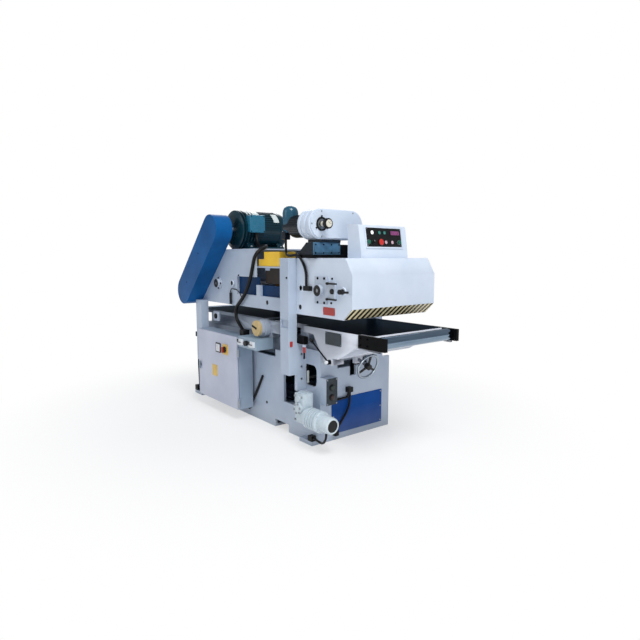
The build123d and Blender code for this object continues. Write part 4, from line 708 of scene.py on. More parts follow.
class Form:
    """Mesh under construction, in millimetres in the machine's frame."""

    def __init__(self, *finishes: Finish) -> None:
        """Start empty, painting with the first finish.

        Args:
            finishes: every finish of the piece.
        """
        self.bm = bmesh.new()
        self.finishes = finishes
        self.slot = 0

    @classmethod
    def of_node(cls, node: str, finishes: Sequence[Finish], edge: float = 0.0, segments: int = 2,
                least: float = 0.0) -> "Form":
        """Start from the solid of a node, with its sharp edges broken.

        Args:
            node: the node's name.
            finishes: every finish of the piece.
            edge: size of the rounded edges.
            segments: steps across an edge.
            least: length of the shortest edge that is rounded.

        Returns:
            The new form.
        """
        form = cls(*finishes)
        bm = form.bm
        bm.from_mesh(frame["nodes"][node].data)
        bmesh.ops.scale(bm, vec=(1 / MM, 1 / MM, 1 / MM), verts=bm.verts)
        bmesh.ops.remove_doubles(bm, verts=bm.verts, dist=MERGE_MM)
        bmesh.ops.dissolve_limit(bm, angle_limit=SAME_FACE, verts=bm.verts, edges=bm.edges)
        if edge:
            sharp = [e for e in bm.edges if len(e.link_faces) == 2 and e.calc_length() >= least
                     and e.calc_face_angle(0.0) > SHARP_EDGE]
            soften(bm, sharp, edge, segments)
        return form

    def split(self, spot: Point, way: Point) -> "Form":
        """Cut the faces along a plane, so that each side can take its own finish.

        Args:
            spot: point of the plane.
            way: its normal.

        Returns:
            The form.
        """
        parts = self.bm.verts[:] + self.bm.edges[:] + self.bm.faces[:]
        bmesh.ops.bisect_plane(self.bm, geom=parts, dist=CUT_MM, plane_co=spot, plane_no=way)
        return self

    def pick(self, choose: Picker) -> "Form":
        """Give each face the finish that its middle and normal call for.

        Args:
            choose: function from middle and normal to one of the piece's finishes.

        Returns:
            The form.
        """
        self.bm.normal_update()
        for face in self.bm.faces:
            face.material_index = self.finishes.index(choose(face.calc_center_median(), face.normal))
        return self

    def paint(self, finish: Finish) -> "Form":
        """Use this one of the piece's finishes for what follows."""
        self.slot = self.finishes.index(finish)
        return self

    def add(self, shell: bmesh.types.BMesh, place: Matrix | None = None) -> "Form":
        """Take in a finished shell with the current finish.

        Args:
            shell: the shell, which is used up.
            place: where its frame stands.

        Returns:
            The form.
        """
        if place is not None:
            bmesh.ops.transform(shell, matrix=place, verts=shell.verts)
        bmesh.ops.recalc_face_normals(shell, faces=shell.faces)
        for face in shell.faces:
            face.material_index = self.slot
        carrier = bpy.data.meshes.new("carrier")
        shell.to_mesh(carrier)
        shell.free()
        self.bm.from_mesh(carrier)
        bpy.data.meshes.remove(carrier)
        return self

    def block(self, shape: Block, place: Matrix | None = None) -> "Form":
        """Add a box with rounded edges.

        Args:
            shape: the box.
            place: frame it is drawn in.

        Returns:
            The form.
        """
        spans = (shape.x, shape.y, shape.z)
        size = Matrix.Diagonal((*(high - low for low, high in spans), 1))
        middle = Matrix.Translation([(low + high) / 2 for low, high in spans])
        shell = bmesh.new()
        bmesh.ops.create_cube(shell, size=1.0)
        bmesh.ops.transform(shell, matrix=middle @ size, verts=shell.verts)
        if shape.edge:
            soften(shell, shell.edges[:], shape.edge)
        return self.add(shell, place)

    def turned(self, place: Matrix, shape: Turning) -> "Form":
        """Add a round piece.

        Args:
            place: frame whose Z is the axis.
            shape: the round piece.

        Returns:
            The form.
        """
        shell = bmesh.new()
        steps = shape.steps
        rings = []
        for along, radius in shape.profile:
            count = 1 if radius < TINY else steps
            spots = [polar(radius, 2 * math.pi * i / steps) for i in range(count)]
            rings.append([shell.verts.new((*spot, along)) for spot in spots])
        for low, high in zip(rings, rings[1:]):
            for i in range(steps):
                j = (i + 1) % steps
                corners = [low[i % len(low)], low[j % len(low)], high[j % len(high)], high[i % len(high)]]
                shell.faces.new(list(dict.fromkeys(corners)))
        for ring in (rings[0], rings[-1]):
            if len(ring) > 1:
                shell.faces.new(ring)
        return self.add(shell, place)

    def drawn(self, outline: Outline, span: Span, place: Matrix, edge: float = 0.0) -> "Form":
        """Add an outline drawn out along its frame's Z.

        Args:
            outline: closed outline in local X and Y.
            span: low and high local Z.
            place: the frame.
            edge: rounding of the rims.

        Returns:
            The form.
        """
        shell = bmesh.new()
        low, high = ([shell.verts.new((x, y, z)) for x, y in outline] for z in span)
        shell.faces.new(low)
        shell.faces.new(high)
        count = len(outline)
        for i in range(count):
            j = (i + 1) % count
            shell.faces.new((low[i], low[j], high[j], high[i]))
        if edge:
            bmesh.ops.recalc_face_normals(shell, faces=shell.faces)
            soften(shell, [e for e in shell.edges if e.calc_face_angle(0.0) > OUTLINE_RIM], edge)
        return self.add(shell, place)

    def slab(self, place: Matrix, shape: Slab) -> "Form":
        """Add a plate with rounded corners."""
        outline = rounded_outline(shape.width, shape.height, shape.corner)
        return self.drawn(outline, shape.span, place, shape.edge)

    def piece(self, name: str, slot: str, body: str = FRAME, stands_for: Sequence[str] = ()) -> None:
        """Finish the mesh as a piece of the machine.

        Args:
            name: its name.
            slot: not used.
            body: the body that it rides on.
            stands_for: nodes that it stands for.
        """
        bmesh.ops.scale(self.bm, vec=(MM, MM, MM), verts=self.bm.verts)
        mesh = bpy.data.meshes.new(name)
        self.bm.to_mesh(mesh)
        self.bm.free()
        for finish in self.finishes:
            mesh.materials.append(finish.material())
        mesh.shade_smooth()
        mesh.set_sharp_from_angle(angle=SMOOTH)
        piece = bpy.data.objects.new(name, mesh)
        bpy.context.scene.collection.objects.link(piece)
        weigh = piece.modifiers.new("flat faces", "WEIGHTED_NORMAL")
        weigh.keep_sharp = True
        weigh.weight = FLAT_WEIGHT
        settle(piece)
        enrol(piece, body, stands_for)


# Repeats


@dataclass(frozen=True)
class Bolt:
    """One kind of bolt or screw: a head's sides, radius and height, and its washer's radius and thickness."""

    sides: int
    head: float
    height: float
    washer: float
    thick: float


@dataclass(frozen=True)
class Fins:
    """Fins or ribs that stand round a drum: how many, the radius of their middles, and their sizes."""

    count: int
    radius: float
    height: float
    thick: float
    length: float


HEX_BOLT = Bolt(6, 9.5, 7.0, 13.0, 2.0)
SMALL_HEX = Bolt(6, 6.5, 5.0, 9.0, 1.5)
CAP_SCREW = Bolt(16, 6.0, 5.5, 7.5, 1.0)
PAN_SCREW = Bolt(14, 5.0, 2.6, 5.6, 0.6)
GIB_SCREW = Bolt(6, 6.0, 4.0, 8.6, 2.0)
CORNER_SCREW = Bolt(12, 3.2, 1.4, 3.6, 0.4)
RIVET = Bolt(12, 3.0, 1.6, 3.4, 0.4)


def seats(xs: Row, ys: Row, zs: Row, way: Point) -> Seats:
    """Seats of fasteners in rows, at every pairing of some X, Y and Z."""
    return tuple((spot, way) for spot in product(xs, ys, zs))


def ring_seats(centre: Point, way: Point, radius: float, count: int, start: float = 0.0) -> Seats:
    """Seats of fasteners on a circle.

    Args:
        centre: middle of the circle.
        way: the way that they face.
        radius: of the circle.
        count: number of them.
        start: angle of the first in degrees.

    Returns:
        Their seats.
    """
    place = facing(centre, way)
    angles = [math.radians(start + 360 * step / count) for step in range(count)]
    return tuple((tuple(place @ Vector((*polar(radius, angle), 0))), way) for angle in angles)


class Repeats:
    """Geometry Nodes trees for what repeats: bolts on points, and fins round a drum."""

    head_taper: float = 0.86        # radius at the top of a bolt's head as a share of that below
    washer_sides: int = 18
    size_sockets: dict[type, str] = {int: "NodeSocketInt", float: "NodeSocketFloat"}

    def __init__(self) -> None:
        """Build the trees."""
        self.trees = {Bolt: self.bolt_tree(), Fins: self.fin_tree()}

    def open_tree(self, name: str, kind: type) -> tuple[bpy.types.NodeTree, bpy.types.Node]:
        """Start a tree whose inputs are the sizes of a kind of repeat, and a finish.

        Args:
            name: the tree's name.
            kind: dataclass of the sizes.

        Returns:
            The tree and its input node.
        """
        tree = bpy.data.node_groups.new(name, "GeometryNodeTree")
        sizes = {size.name: self.size_sockets[size.type] for size in fields(kind)}
        sockets = {"Geometry": "NodeSocketGeometry", **sizes, "finish": "NodeSocketMaterial"}
        for label, socket in sockets.items():
            tree.interface.new_socket(label, in_out="INPUT", socket_type=socket)
        tree.interface.new_socket("Geometry", in_out="OUTPUT", socket_type="NodeSocketGeometry")
        return tree, add_node(tree, "NodeGroupInput")

    @staticmethod
    def close_tree(tree: bpy.types.NodeTree, instances: bpy.types.NodeSocket,
                   material: bpy.types.NodeSocket) -> None:
        """End a tree in real, painted geometry.

        Args:
            tree: the tree.
            instances: what it made.
            material: socket of its finish.
        """
        real = add_node(tree, "GeometryNodeRealizeInstances", {"Geometry": instances})
        painted = add_node(tree, "GeometryNodeSetMaterial", {
            "Geometry": real.outputs[0], "Material": material})
        add_node(tree, "NodeGroupOutput", {"Geometry": painted.outputs[0]})

    def bolt_tree(self) -> bpy.types.NodeTree:
        """Tree that seats a head on a washer at each point, turned to the point's facing.

        Returns:
            The tree.
        """
        tree, given = self.open_tree("bolts on points", Bolt)
        points = add_node(tree, "GeometryNodeMeshToPoints", {"Mesh": given.outputs["Geometry"]})
        top = add_node(tree, "ShaderNodeMath", {0: given.outputs["head"], 1: self.head_taper},
                       operation="MULTIPLY")
        head = add_node(tree, "GeometryNodeMeshCone", {
            "Vertices": given.outputs["sides"], "Radius Top": top.outputs[0],
            "Radius Bottom": given.outputs["head"], "Depth": given.outputs["height"]})
        raised = add_node(tree, "ShaderNodeCombineXYZ", {"Z": given.outputs["thick"]})
        seated = add_node(tree, "GeometryNodeTransform", {
            "Geometry": head.outputs["Mesh"], "Translation": raised.outputs[0]})
        washer = add_node(tree, "GeometryNodeMeshCone", {
            "Vertices": self.washer_sides, "Radius Top": given.outputs["washer"],
            "Radius Bottom": given.outputs["washer"], "Depth": given.outputs["thick"]})
        joined = add_node(tree, "GeometryNodeJoinGeometry")
        for part in (seated.outputs[0], washer.outputs["Mesh"]):
            tree.links.new(part, joined.inputs[0])
        way = add_node(tree, "GeometryNodeInputNamedAttribute", {"Name": "facing"}, data_type="FLOAT_VECTOR")
        turn = add_node(tree, "FunctionNodeAlignRotationToVector", {"Vector": way.outputs[0]}, axis="Z")
        placed = add_node(tree, "GeometryNodeInstanceOnPoints", {
            "Points": points.outputs[0], "Instance": joined.outputs[0], "Rotation": turn.outputs[0]})
        self.close_tree(tree, placed.outputs[0], given.outputs["finish"])
        return tree

    def fin_tree(self) -> bpy.types.NodeTree:
        """Tree that stands fins round a drum whose axis is Z.

        Returns:
            The tree.
        """
        tree, given = self.open_tree("fins round a drum", Fins)
        ring = add_node(tree, "GeometryNodeMeshCircle", {
            "Vertices": given.outputs["count"], "Radius": given.outputs["radius"]})
        size = add_node(tree, "ShaderNodeCombineXYZ", {
            "X": given.outputs["height"], "Y": given.outputs["thick"], "Z": given.outputs["length"]})
        fin = add_node(tree, "GeometryNodeMeshCube", {"Size": size.outputs[0]})
        spot = add_node(tree, "GeometryNodeInputPosition")
        turn = add_node(tree, "FunctionNodeAlignRotationToVector", {"Vector": spot.outputs[0]}, axis="X")
        placed = add_node(tree, "GeometryNodeInstanceOnPoints", {
            "Points": ring.outputs[0], "Instance": fin.outputs["Mesh"], "Rotation": turn.outputs[0]})
        self.close_tree(tree, placed.outputs[0], given.outputs["finish"])
        return tree

    def grow(self, name: str, kind: Bolt | Fins, finish: Finish, body: str, points: Seats = (),
             place: Matrix | None = None) -> None:
        """Run the tree of a kind of repeat and keep what it makes as a piece.

        Args:
            name: the piece's name.
            kind: the repeat, in millimetres.
            finish: its finish.
            body: the body that the piece rides on.
            points: seats for a tree that works on points.
            place: frame of the result, in millimetres.
        """
        tree = self.trees[type(kind)]
        inputs = {**asdict(kind), "finish": finish.material()}
        carrier = bpy.data.meshes.new(name)
        carrier.from_pydata([spot for spot, _ in points], [], [])
        if points:
            ways = carrier.attributes.new("facing", "FLOAT_VECTOR", "POINT")
            for entry, (_, way) in zip(ways.data, points):
                entry.vector = way
        piece = bpy.data.objects.new(name, carrier)
        grown = piece.modifiers.new("grown", "NODES")
        grown.node_group = tree
        for item in tree.interface.items_tree:
            if item.in_out == "INPUT" and item.name in inputs:
                grown[item.identifier] = inputs[item.name]
        bpy.context.scene.collection.objects.link(piece)
        settle(piece)
        piece.data.transform(Matrix.Scale(MM, 4) @ (place or Matrix.Identity(4)))
        piece.data.set_sharp_from_angle(angle=SMOOTH_REPEAT)
        enrol(piece, body)

    def bolt(self, name: str, kind: Bolt, points: Seats, finish: Finish = ZINC, slot: str = "steel",
             body: str = FRAME) -> None:
        """Seat bolts of a kind on points."""
        self.grow(name, kind, finish, body, points=points)

    def fin(self, name: str, kind: Fins, place: Matrix, finish: Finish, slot: str, body: str = FRAME) -> None:
        """Stand fins round a drum, in a frame at the middle of their length with its Z along the drum."""
        self.grow(name, kind, finish, body, place=place)


# Sub-assemblies


@dataclass(frozen=True)
class RivetedPlate:
    """Plain thin plate on four rivets, on a face that looks to the operator's side."""

    name: str
    rivets: str
    middle: Point
    slab: Slab
    spread: Spot        # from the middle to a rivet, along and up
    finish: Finish
    slot: str
    body: str = FRAME


@dataclass(frozen=True)
class PushButton:
    """Push button: its cap with its stem, and the collar that it moves in."""

    cap: Turning
    collar: Turning
    finish: Finish      # of the collar
    slot: str


@dataclass
class Assembly(ABC):
    """A sub-assembly of the machine."""

    repeats: Repeats

    @abstractmethod
    def build(self) -> None:
        """Build and dress every piece."""

    @staticmethod
    def replace(node: str, form: Form, made: Made = Made.NEW) -> None:
        """Finish a form as the piece that stands in for a node, on its body.

        Args:
            node: the node.
            form: the form.
            made: how the form was made.
        """
        record = frame["record"]
        slot = next(part["material_slot"] for part in record["subparts"] if part["node"] == node)
        body = next(body for body, nodes in record["behaviour"]["bodies"].items() if node in nodes)
        form.piece(f"{node}.{made.value}", slot, body, (node,))

    def dress(self, node: str, finishes: Sequence[Finish], edge: float = 0.0, choose: Picker | None = None,
              segments: int = 2, least: float = 0.0) -> None:
        """Stand a softened and painted copy in for a node.

        Args:
            node: the node.
            finishes: its finishes, the first for the faces that nothing is picked for.
            edge: rounding of its edges.
            choose: function that picks a finish for each face.
            segments: steps across an edge.
            least: length of the shortest edge that is rounded.
        """
        form = Form.of_node(node, finishes, edge, segments, least)
        if choose:
            form.pick(choose)
        self.replace(node, form, Made.DRESSED)

    def rivet(self, plate: RivetedPlate) -> None:
        """Make a plate and its rivets.

        Args:
            plate: the plate.
        """
        (x, y, z), (dx, dz) = plate.middle, plate.spread
        form = Form(plate.finish).slab(near_face(x, y, z), plate.slab)
        form.piece(plate.name, plate.slot, plate.body)
        points = seats((x - dx, x + dx), (y - plate.slab.span[1],), (z - dz, z + dz), NEAR)
        self.repeats.bolt(plate.rivets, RIVET, points, body=plate.body)

    def push_button(self, node: str, kind: PushButton, place: Matrix, finish: Finish) -> None:
        """Make a push button and its collar.

        Args:
            node: the button's node.
            kind: its shape.
            place: frame whose Z is the way that it comes out.
            finish: of its cap.
        """
        self.replace(node, Form(finish).turned(place, kind.cap))
        Form(kind.finish).turned(place, kind.collar).piece(f"{node}_collar", kind.slot)


@dataclass
class Base(Assembly):
    """Base frame, infeed pedestal, columns and guide blocks, with their switch, pointers and back cover."""

    arch_x: Span = (412, 591)
    arch_top: float = 61
    # The pedestal's inside takes the dark primer as painted shade
    well_x: Span = (694, 912)           # inside of the pedestal
    well_half: float = 288
    well_floor: float = 30
    lock_block_low: float = 711
    gibs: Seats = seats((754,), (-348.5, 348.5), (448.5, 538.5, 628.5), INFEED)
    pointer: Block = Block((770, 775), (-452, -430), (690, 728), 1)
    lock_pointer: Block = Block((820, 838), (-378, -364), (650, 690))
    lock_rod: Block = Block((823, 835), (-376, -366), (604, 650), 3)
    lock_nut: Block = Block((818, 840), (-380, -362), (690, 711))
    switch: Block = Block((741.6, 772), (-304, -284), (500, 551), 4)
    switch_slide: Block = Block((762, 776), (-300, -286), (410, 502), 3)
    switch_head_at: Point = (760, -304, 528)
    switch_head: Turning = Turning(((0, 13), (4, 13), (6, 10), (6, 0)), 28)
    plug_at: Point = (293, -340, 168)
    plug: Turning = Turning(((0, 11), (2.5, 11), (3.6, 9), (3.6, 0)), 28)
    cover: Block = Block((516, 674), (340, 344), (214, 606), 1.5)
    cover_inside: float = -0.5          # normals further to the operator's side are its inner face
    cover_screws: Seats = seats((524,), (344,), (240, 360, 480, 590), FAR)

    def build(self) -> None:
        """Build and dress the fixed lower part."""
        self.dress("base_frame", [GREY, SHADE_PRIMER], edge=4.0, choose=self.base_finish)
        self.dress("infeed_pedestal", [GREY, SHADE_PRIMER], edge=4.0, choose=self.pedestal_finish)
        self.dress("columns", [GREY], edge=3.0)
        self.dress("guide_blocks", [GREY, BLACK], edge=2.5,
                   choose=lambda mid, way: BLACK if mid.z > self.lock_block_low else GREY)
        self.repeats.bolt("gib_screws", GIB_SCREW, self.gibs, NYLON, "black_plastic")
        self.pointers()
        self.limit_switch()
        self.back_cover()

    def base_finish(self, mid: Vector, way: Vector) -> Finish:
        """Dark primer as painted shade inside the arch at the floor, grey elsewhere."""
        return SHADE_PRIMER if self.arch_x[0] < mid.x < self.arch_x[1] and mid.z < self.arch_top else GREY

    def pedestal_finish(self, mid: Vector, way: Vector) -> Finish:
        """Dark primer as painted shade inside the pedestal, grey outside."""
        inside = abs(mid.y) < self.well_half and self.well_x[0] < mid.x < self.well_x[1]
        return SHADE_PRIMER if inside and mid.z > self.well_floor else GREY

    def pointers(self) -> None:
        """Red height pointers beside the near column and under the lock block."""
        form = Form(RED, BLACK, WHITE)
        form.block(self.pointer).block(self.lock_pointer)
        form.paint(BLACK).block(self.lock_rod)
        form.paint(WHITE).block(self.lock_nut)
        form.piece("height_pointers", "red_plastic")

    def limit_switch(self) -> None:
        """Limit switch in the pedestal's wall slot, and the plug of the base's near wall."""
        form = Form(NYLON, PLATE)
        form.block(self.switch)
        form.turned(near_face(*self.switch_head_at), self.switch_head)
        form.turned(near_face(*self.plug_at), self.plug)
        form.paint(PLATE).block(self.switch_slide)
        form.piece("limit_switch", "black_plastic")

    def back_cover(self) -> None:
        """Sheet cover over the gap between base and pedestal on the far side, with its screws."""
        form = Form(GREY, SHADE_PRIMER).block(self.cover)
        # The cover's inner face takes the dark primer as painted shade
        form.pick(lambda mid, way: SHADE_PRIMER if way.y < self.cover_inside else GREY)
        form.piece("back_cover", "grey_paint")
        self.repeats.bolt("back_cover_screws", PAN_SCREW, self.cover_screws)


@dataclass
class Head(Assembly):
    """Infeed and outfeed heads above the tables."""

    panel_low_x: float = 700            # panels below this X stand behind the outfeed windows
    lip_front: float = 0.3              # normals of the striped face run further to the infeed end
    hood_step_x: float = 299
    shoe_top: float = 975
    post_at: Spot = (330, 250)
    post_reach: float = 19
    post_top: float = 1233
    case_x: Span = (299, 501)
    case_y: Span = (-341, -231)
    shafts: tuple[Spot, ...] = ((1040, 1098), (-360, 1092))
    holes: tuple[Spot, ...] = ((820, 1104), (808, 971), (390, 973))
    blank: Spot = (-123, 1101)
    stub: Spot = (1262, 1100)
    stub_reach: float = 20
    stub_back: float = -397
    seal: Turning = Turning(((424, 12), (427.5, 13), (427.5, 34.5), (424, 37.5)), 40)
    blank_cap: Turning = Turning(((401, 19.5), (403.5, 19.5), (403.5, 0)))
    blank_rim: Turning = Turning(((401, 20), (405, 21), (405, 26.5), (401, 28)), 40)
    # Black disc set inside each hole, standing in for the shade in it
    hole_shade_disc: Turning = Turning(((370, 17.6), (386, 17.6), (386, 0)))
    hole_rim: Turning = Turning(((389, 18.5), (394, 19), (394, 26), (389, 28)), 40)
    clamp_bars: tuple[Block, ...] = (Block((1130, 1228), (-425, -414), (1143, 1153)),
                                     Block((1130, 1228), (-425, -414), (1043, 1053)))
    clamp_nuts: tuple[Spot, ...] = ((1140, 1148), (1140, 1048))
    clamp_nut: Turning = Turning(((414, 9), (428, 9), (429, 8), (429, 0)), 6)
    shaft_cap_at: Spot = (1184, 1099)
    shaft_cap: Turning = Turning(((414, 17), (423, 17), (427, 13), (427, 0)))
    low_cover_at: Spot = (1040, 953)
    low_cover: Turning = Turning(((389, 24), (392, 24), (393, 22), (393, 0)), 40)
    stub_rim: Turning = Turning(((389, 17), (398, 18), (398, 27), (389, 29)), 40)
    stub_handle: Block = Block((1256, 1336), (-424, -410), (1093, 1107), 4)
    red_plate: RivetedPlate = RivetedPlate(
        "red_plate", "red_plate_rivets", (1122, -390, 966), Slab(120, 52, 3, (0, 1.4), 0.4), spread=(55, 21),
        finish=RED, slot="red_plastic")
    plate_bolts: Seats = (
        *seats((-330, -190, 60, 190), (390,), (1352,), FAR),
        *seats((820, 960, 1110, 1240), (390,), (1288,), FAR),
        *seats((-560, 90, 640, 800, 1180), (390,), (940,), FAR),
        ((-29, -390, 1168), NEAR), ((752, -462, 1173), NEAR),
        ((1154, -390, 1178), NEAR), ((1146, -390, 1022), NEAR))
    flange_bolts: Seats = (
        *ring_seats((-360, -402, 1092), NEAR, radius=43, count=4, start=45),
        *seats((1020, 1088), (-402,), (1020, 1178), NEAR),
        *ring_seats((-360, 402, 1092), FAR, radius=41, count=4, start=45),
        *ring_seats((1040, 402, 1098), FAR, radius=41, count=4, start=45),
        *ring_seats((-785, 402, 975), FAR, radius=44, count=6))
    panel_screws: Seats = seats((934,), (-190, 285), (60, 175, 290), INFEED)

    def build(self) -> None:
        """Build and dress the heads."""
        self.dress("infeed_side_plates", [WHITE], edge=2.5)
        self.dress("outfeed_side_plates", [GREY], edge=2.5)
        # Panels behind the outfeed windows take the darker blue as painted shade
        self.dress("blue_panels", [DEEP_BLUE, SHADED_WINDOW_BLUE], edge=1.5,
                   choose=lambda mid, way: SHADED_WINDOW_BLUE if mid.x < self.panel_low_x else DEEP_BLUE)
        self.dress("infeed_hood", [WHITE], edge=2.0)
        self.dress("stripe_lip", [STRIPES, GREY], edge=1.5,
                   choose=lambda mid, way: STRIPES if way.x > self.lip_front else GREY)
        self.dress("head_deck", [GREY], edge=2.0)
        self.dress("pressure_frame", [GREY, STEEL, BRONZE, UMBER], edge=1.5, choose=self.frame_finish)
        self.dress("pressure_hood", [YELLOW, PALE_HOOD], edge=3.0,
                   choose=lambda mid, way: PALE_HOOD if mid.x < self.hood_step_x else YELLOW)
        self.dress("head_bearings", [CAST_GREY, NYLON], edge=1.5, choose=self.bearing_finish)
        self.dress("upper_cutterhead", [STEEL])
        for name in ("drive_shaft", "feed_roller"):
            for end in ("infeed", "outfeed"):
                self.dress(f"{end}_{name}", [STEEL], edge=1.0)
        self.dress("drive_chains", [OXIDE])
        self.fittings()
        self.rivet(self.red_plate)
        self.bolts()

    def frame_finish(self, mid: Vector, way: Vector) -> Finish:
        """Steel for the shoe, bronze for the posts, brown for the adjuster case, grey for the rails.

        Args:
            mid: middle of the face.
            way: its normal.

        Returns:
            The finish.
        """
        if mid.z < self.shoe_top:
            return STEEL
        out = math.hypot(mid.x - self.post_at[0], abs(mid.y) - self.post_at[1])
        if out < self.post_reach and mid.z < self.post_top:
            return BRONZE
        in_case = self.case_x[0] < mid.x < self.case_x[1] and self.case_y[0] < mid.y < self.case_y[1]
        return UMBER if in_case else GREY

    def bearing_finish(self, mid: Vector, way: Vector) -> Finish:
        """Black for the stub, grey for the blocks and flanges."""
        out = math.hypot(mid.x - self.stub[0], mid.z - self.stub[1])
        return NYLON if out < self.stub_reach and mid.y < self.stub_back else CAST_GREY

    def fittings(self) -> None:
        """Seals, cover rims, black discs as painted shade inside the holes, clamp bars and the stub's handle
        on the near plates.
        """
        black = ((self.shafts, self.seal), ((self.blank,), self.blank_cap), (self.holes, self.hole_shade_disc),
                 (self.clamp_nuts, self.clamp_nut), ((self.shaft_cap_at,), self.shaft_cap))
        white = (((self.blank,), self.blank_rim), (self.holes[:1], self.hole_rim),
                 ((self.low_cover_at,), self.low_cover), ((self.stub,), self.stub_rim))
        form = Form(NYLON, WHITE)
        for bar in (*self.clamp_bars, self.stub_handle):
            form.block(bar)
        for finish, fittings in ((NYLON, black), (WHITE, white)):
            form.paint(finish)
            for spots, shape in fittings:
                for spot in spots:
                    form.turned(near_axis(*spot), shape)
        form.piece("plate_fittings", "black_plastic")

    def bolts(self) -> None:
        """Bolts of the plates, flanges, bearing blocks and the pedestal's end panel."""
        self.repeats.bolt("plate_bolts", CAP_SCREW, self.plate_bolts, OXIDE)
        self.repeats.bolt("flange_bolts", SMALL_HEX, self.flange_bolts, OXIDE)
        self.repeats.bolt("panel_screws", PAN_SCREW, self.panel_screws)


@dataclass
class CutterDrive(Assembly):
    """Upper cutter motor, its belts and the inclined guard."""

    axis: Spot = (-240, 1545)
    radius: float = 162
    steps: int = 72
    drive_end: Outline = ((-320, 24.5), (-320, 118), (-315, 130), (-308, 156), (-303, 162))
    groove_starts: Row = (-300, -270, -240, -210)
    drum_and_cowl: Outline = (
        (-180, 162), (-177, 156), (60, 156), (64, 162), (104, 162), (128, 157), (148, 145), (163, 124),
        (172, 98), (176, 70), (176, 58), (168, 52), (168, 0))
    fins: Fins = Fins(44, 158, 5, 4, 232)
    fins_y: float = -58
    foot: Block = Block((-390, -90), (-250, 110), (1381, 1402), 4)
    saddle: Outline = ((-375, 1402), (-105, 1402), (-140, 1464), (-340, 1464))
    saddle_spans: tuple[Span, ...] = ((-250, -190), (50, 110))
    saddle_edge: float = 3
    box: Block = Block((-120, -54), (-262, -123), (1520, 1660), 10)
    box_lid: Block = Block((-56, -40), (-265, -120), (1517, 1662), 7)
    lid_screws: Seats = seats((-40,), (-254, -131), (1528, 1651), INFEED)
    foot_bolts: Seats = seats((-378, -102), (-220, 80), (1402,), UP)
    plate_root: float = 154
    bare_plates: tuple[tuple[float, Span, Span], ...] = (      # outer radius, angles and span of each
        (161.6, (52, 84), (-236, -118)), (161.8, (24, 58), (4, 58)))
    guard_screws: Seats = (((-454, -540, 1347), NEAR), ((-701, -540, 1092), NEAR))

    def build(self) -> None:
        """Build and dress the cutter drive."""
        self.motor()
        self.dress("upper_rotor", [STEEL], edge=1.5)
        self.dress("upper_belts", [RUBBER], edge=1.0)
        self.dress("belt_guard", [BLUE], edge=5.0, segments=3)
        self.repeats.bolt("guard_screws", PAN_SCREW, self.guard_screws, OXIDE)

    def motor(self) -> None:
        """Finned motor with end shields, rounded cowl, feet, terminal box and two bare plates."""
        place = along_y(*self.axis)
        cut = grooves(self.groove_starts, self.radius, depth=15, width=17, slope=4)
        form = Form(TEAL, BOX_TEAL, PLATE)
        form.turned(place, Turning((*self.drive_end, *cut, *self.drum_and_cowl), self.steps))
        form.block(self.foot)
        for span in self.saddle_spans:
            form.drawn(self.saddle, span, ACROSS, self.saddle_edge)
        form.paint(BOX_TEAL).block(self.box).block(self.box_lid)
        form.paint(PLATE)
        for rim, angles, span in self.bare_plates:
            form.drawn(arc_outline(self.axis, (self.plate_root, rim), angles), span, ACROSS)
        self.replace("cutter_motor", form)
        self.repeats.fin("cutter_motor_fins", self.fins, moved(place, z=self.fins_y), TEAL, "teal_paint")
        self.repeats.bolt("terminal_screws", PAN_SCREW, self.lid_screws, OXIDE)
        self.repeats.bolt("motor_foot_bolts", HEX_BOLT, self.foot_bolts)


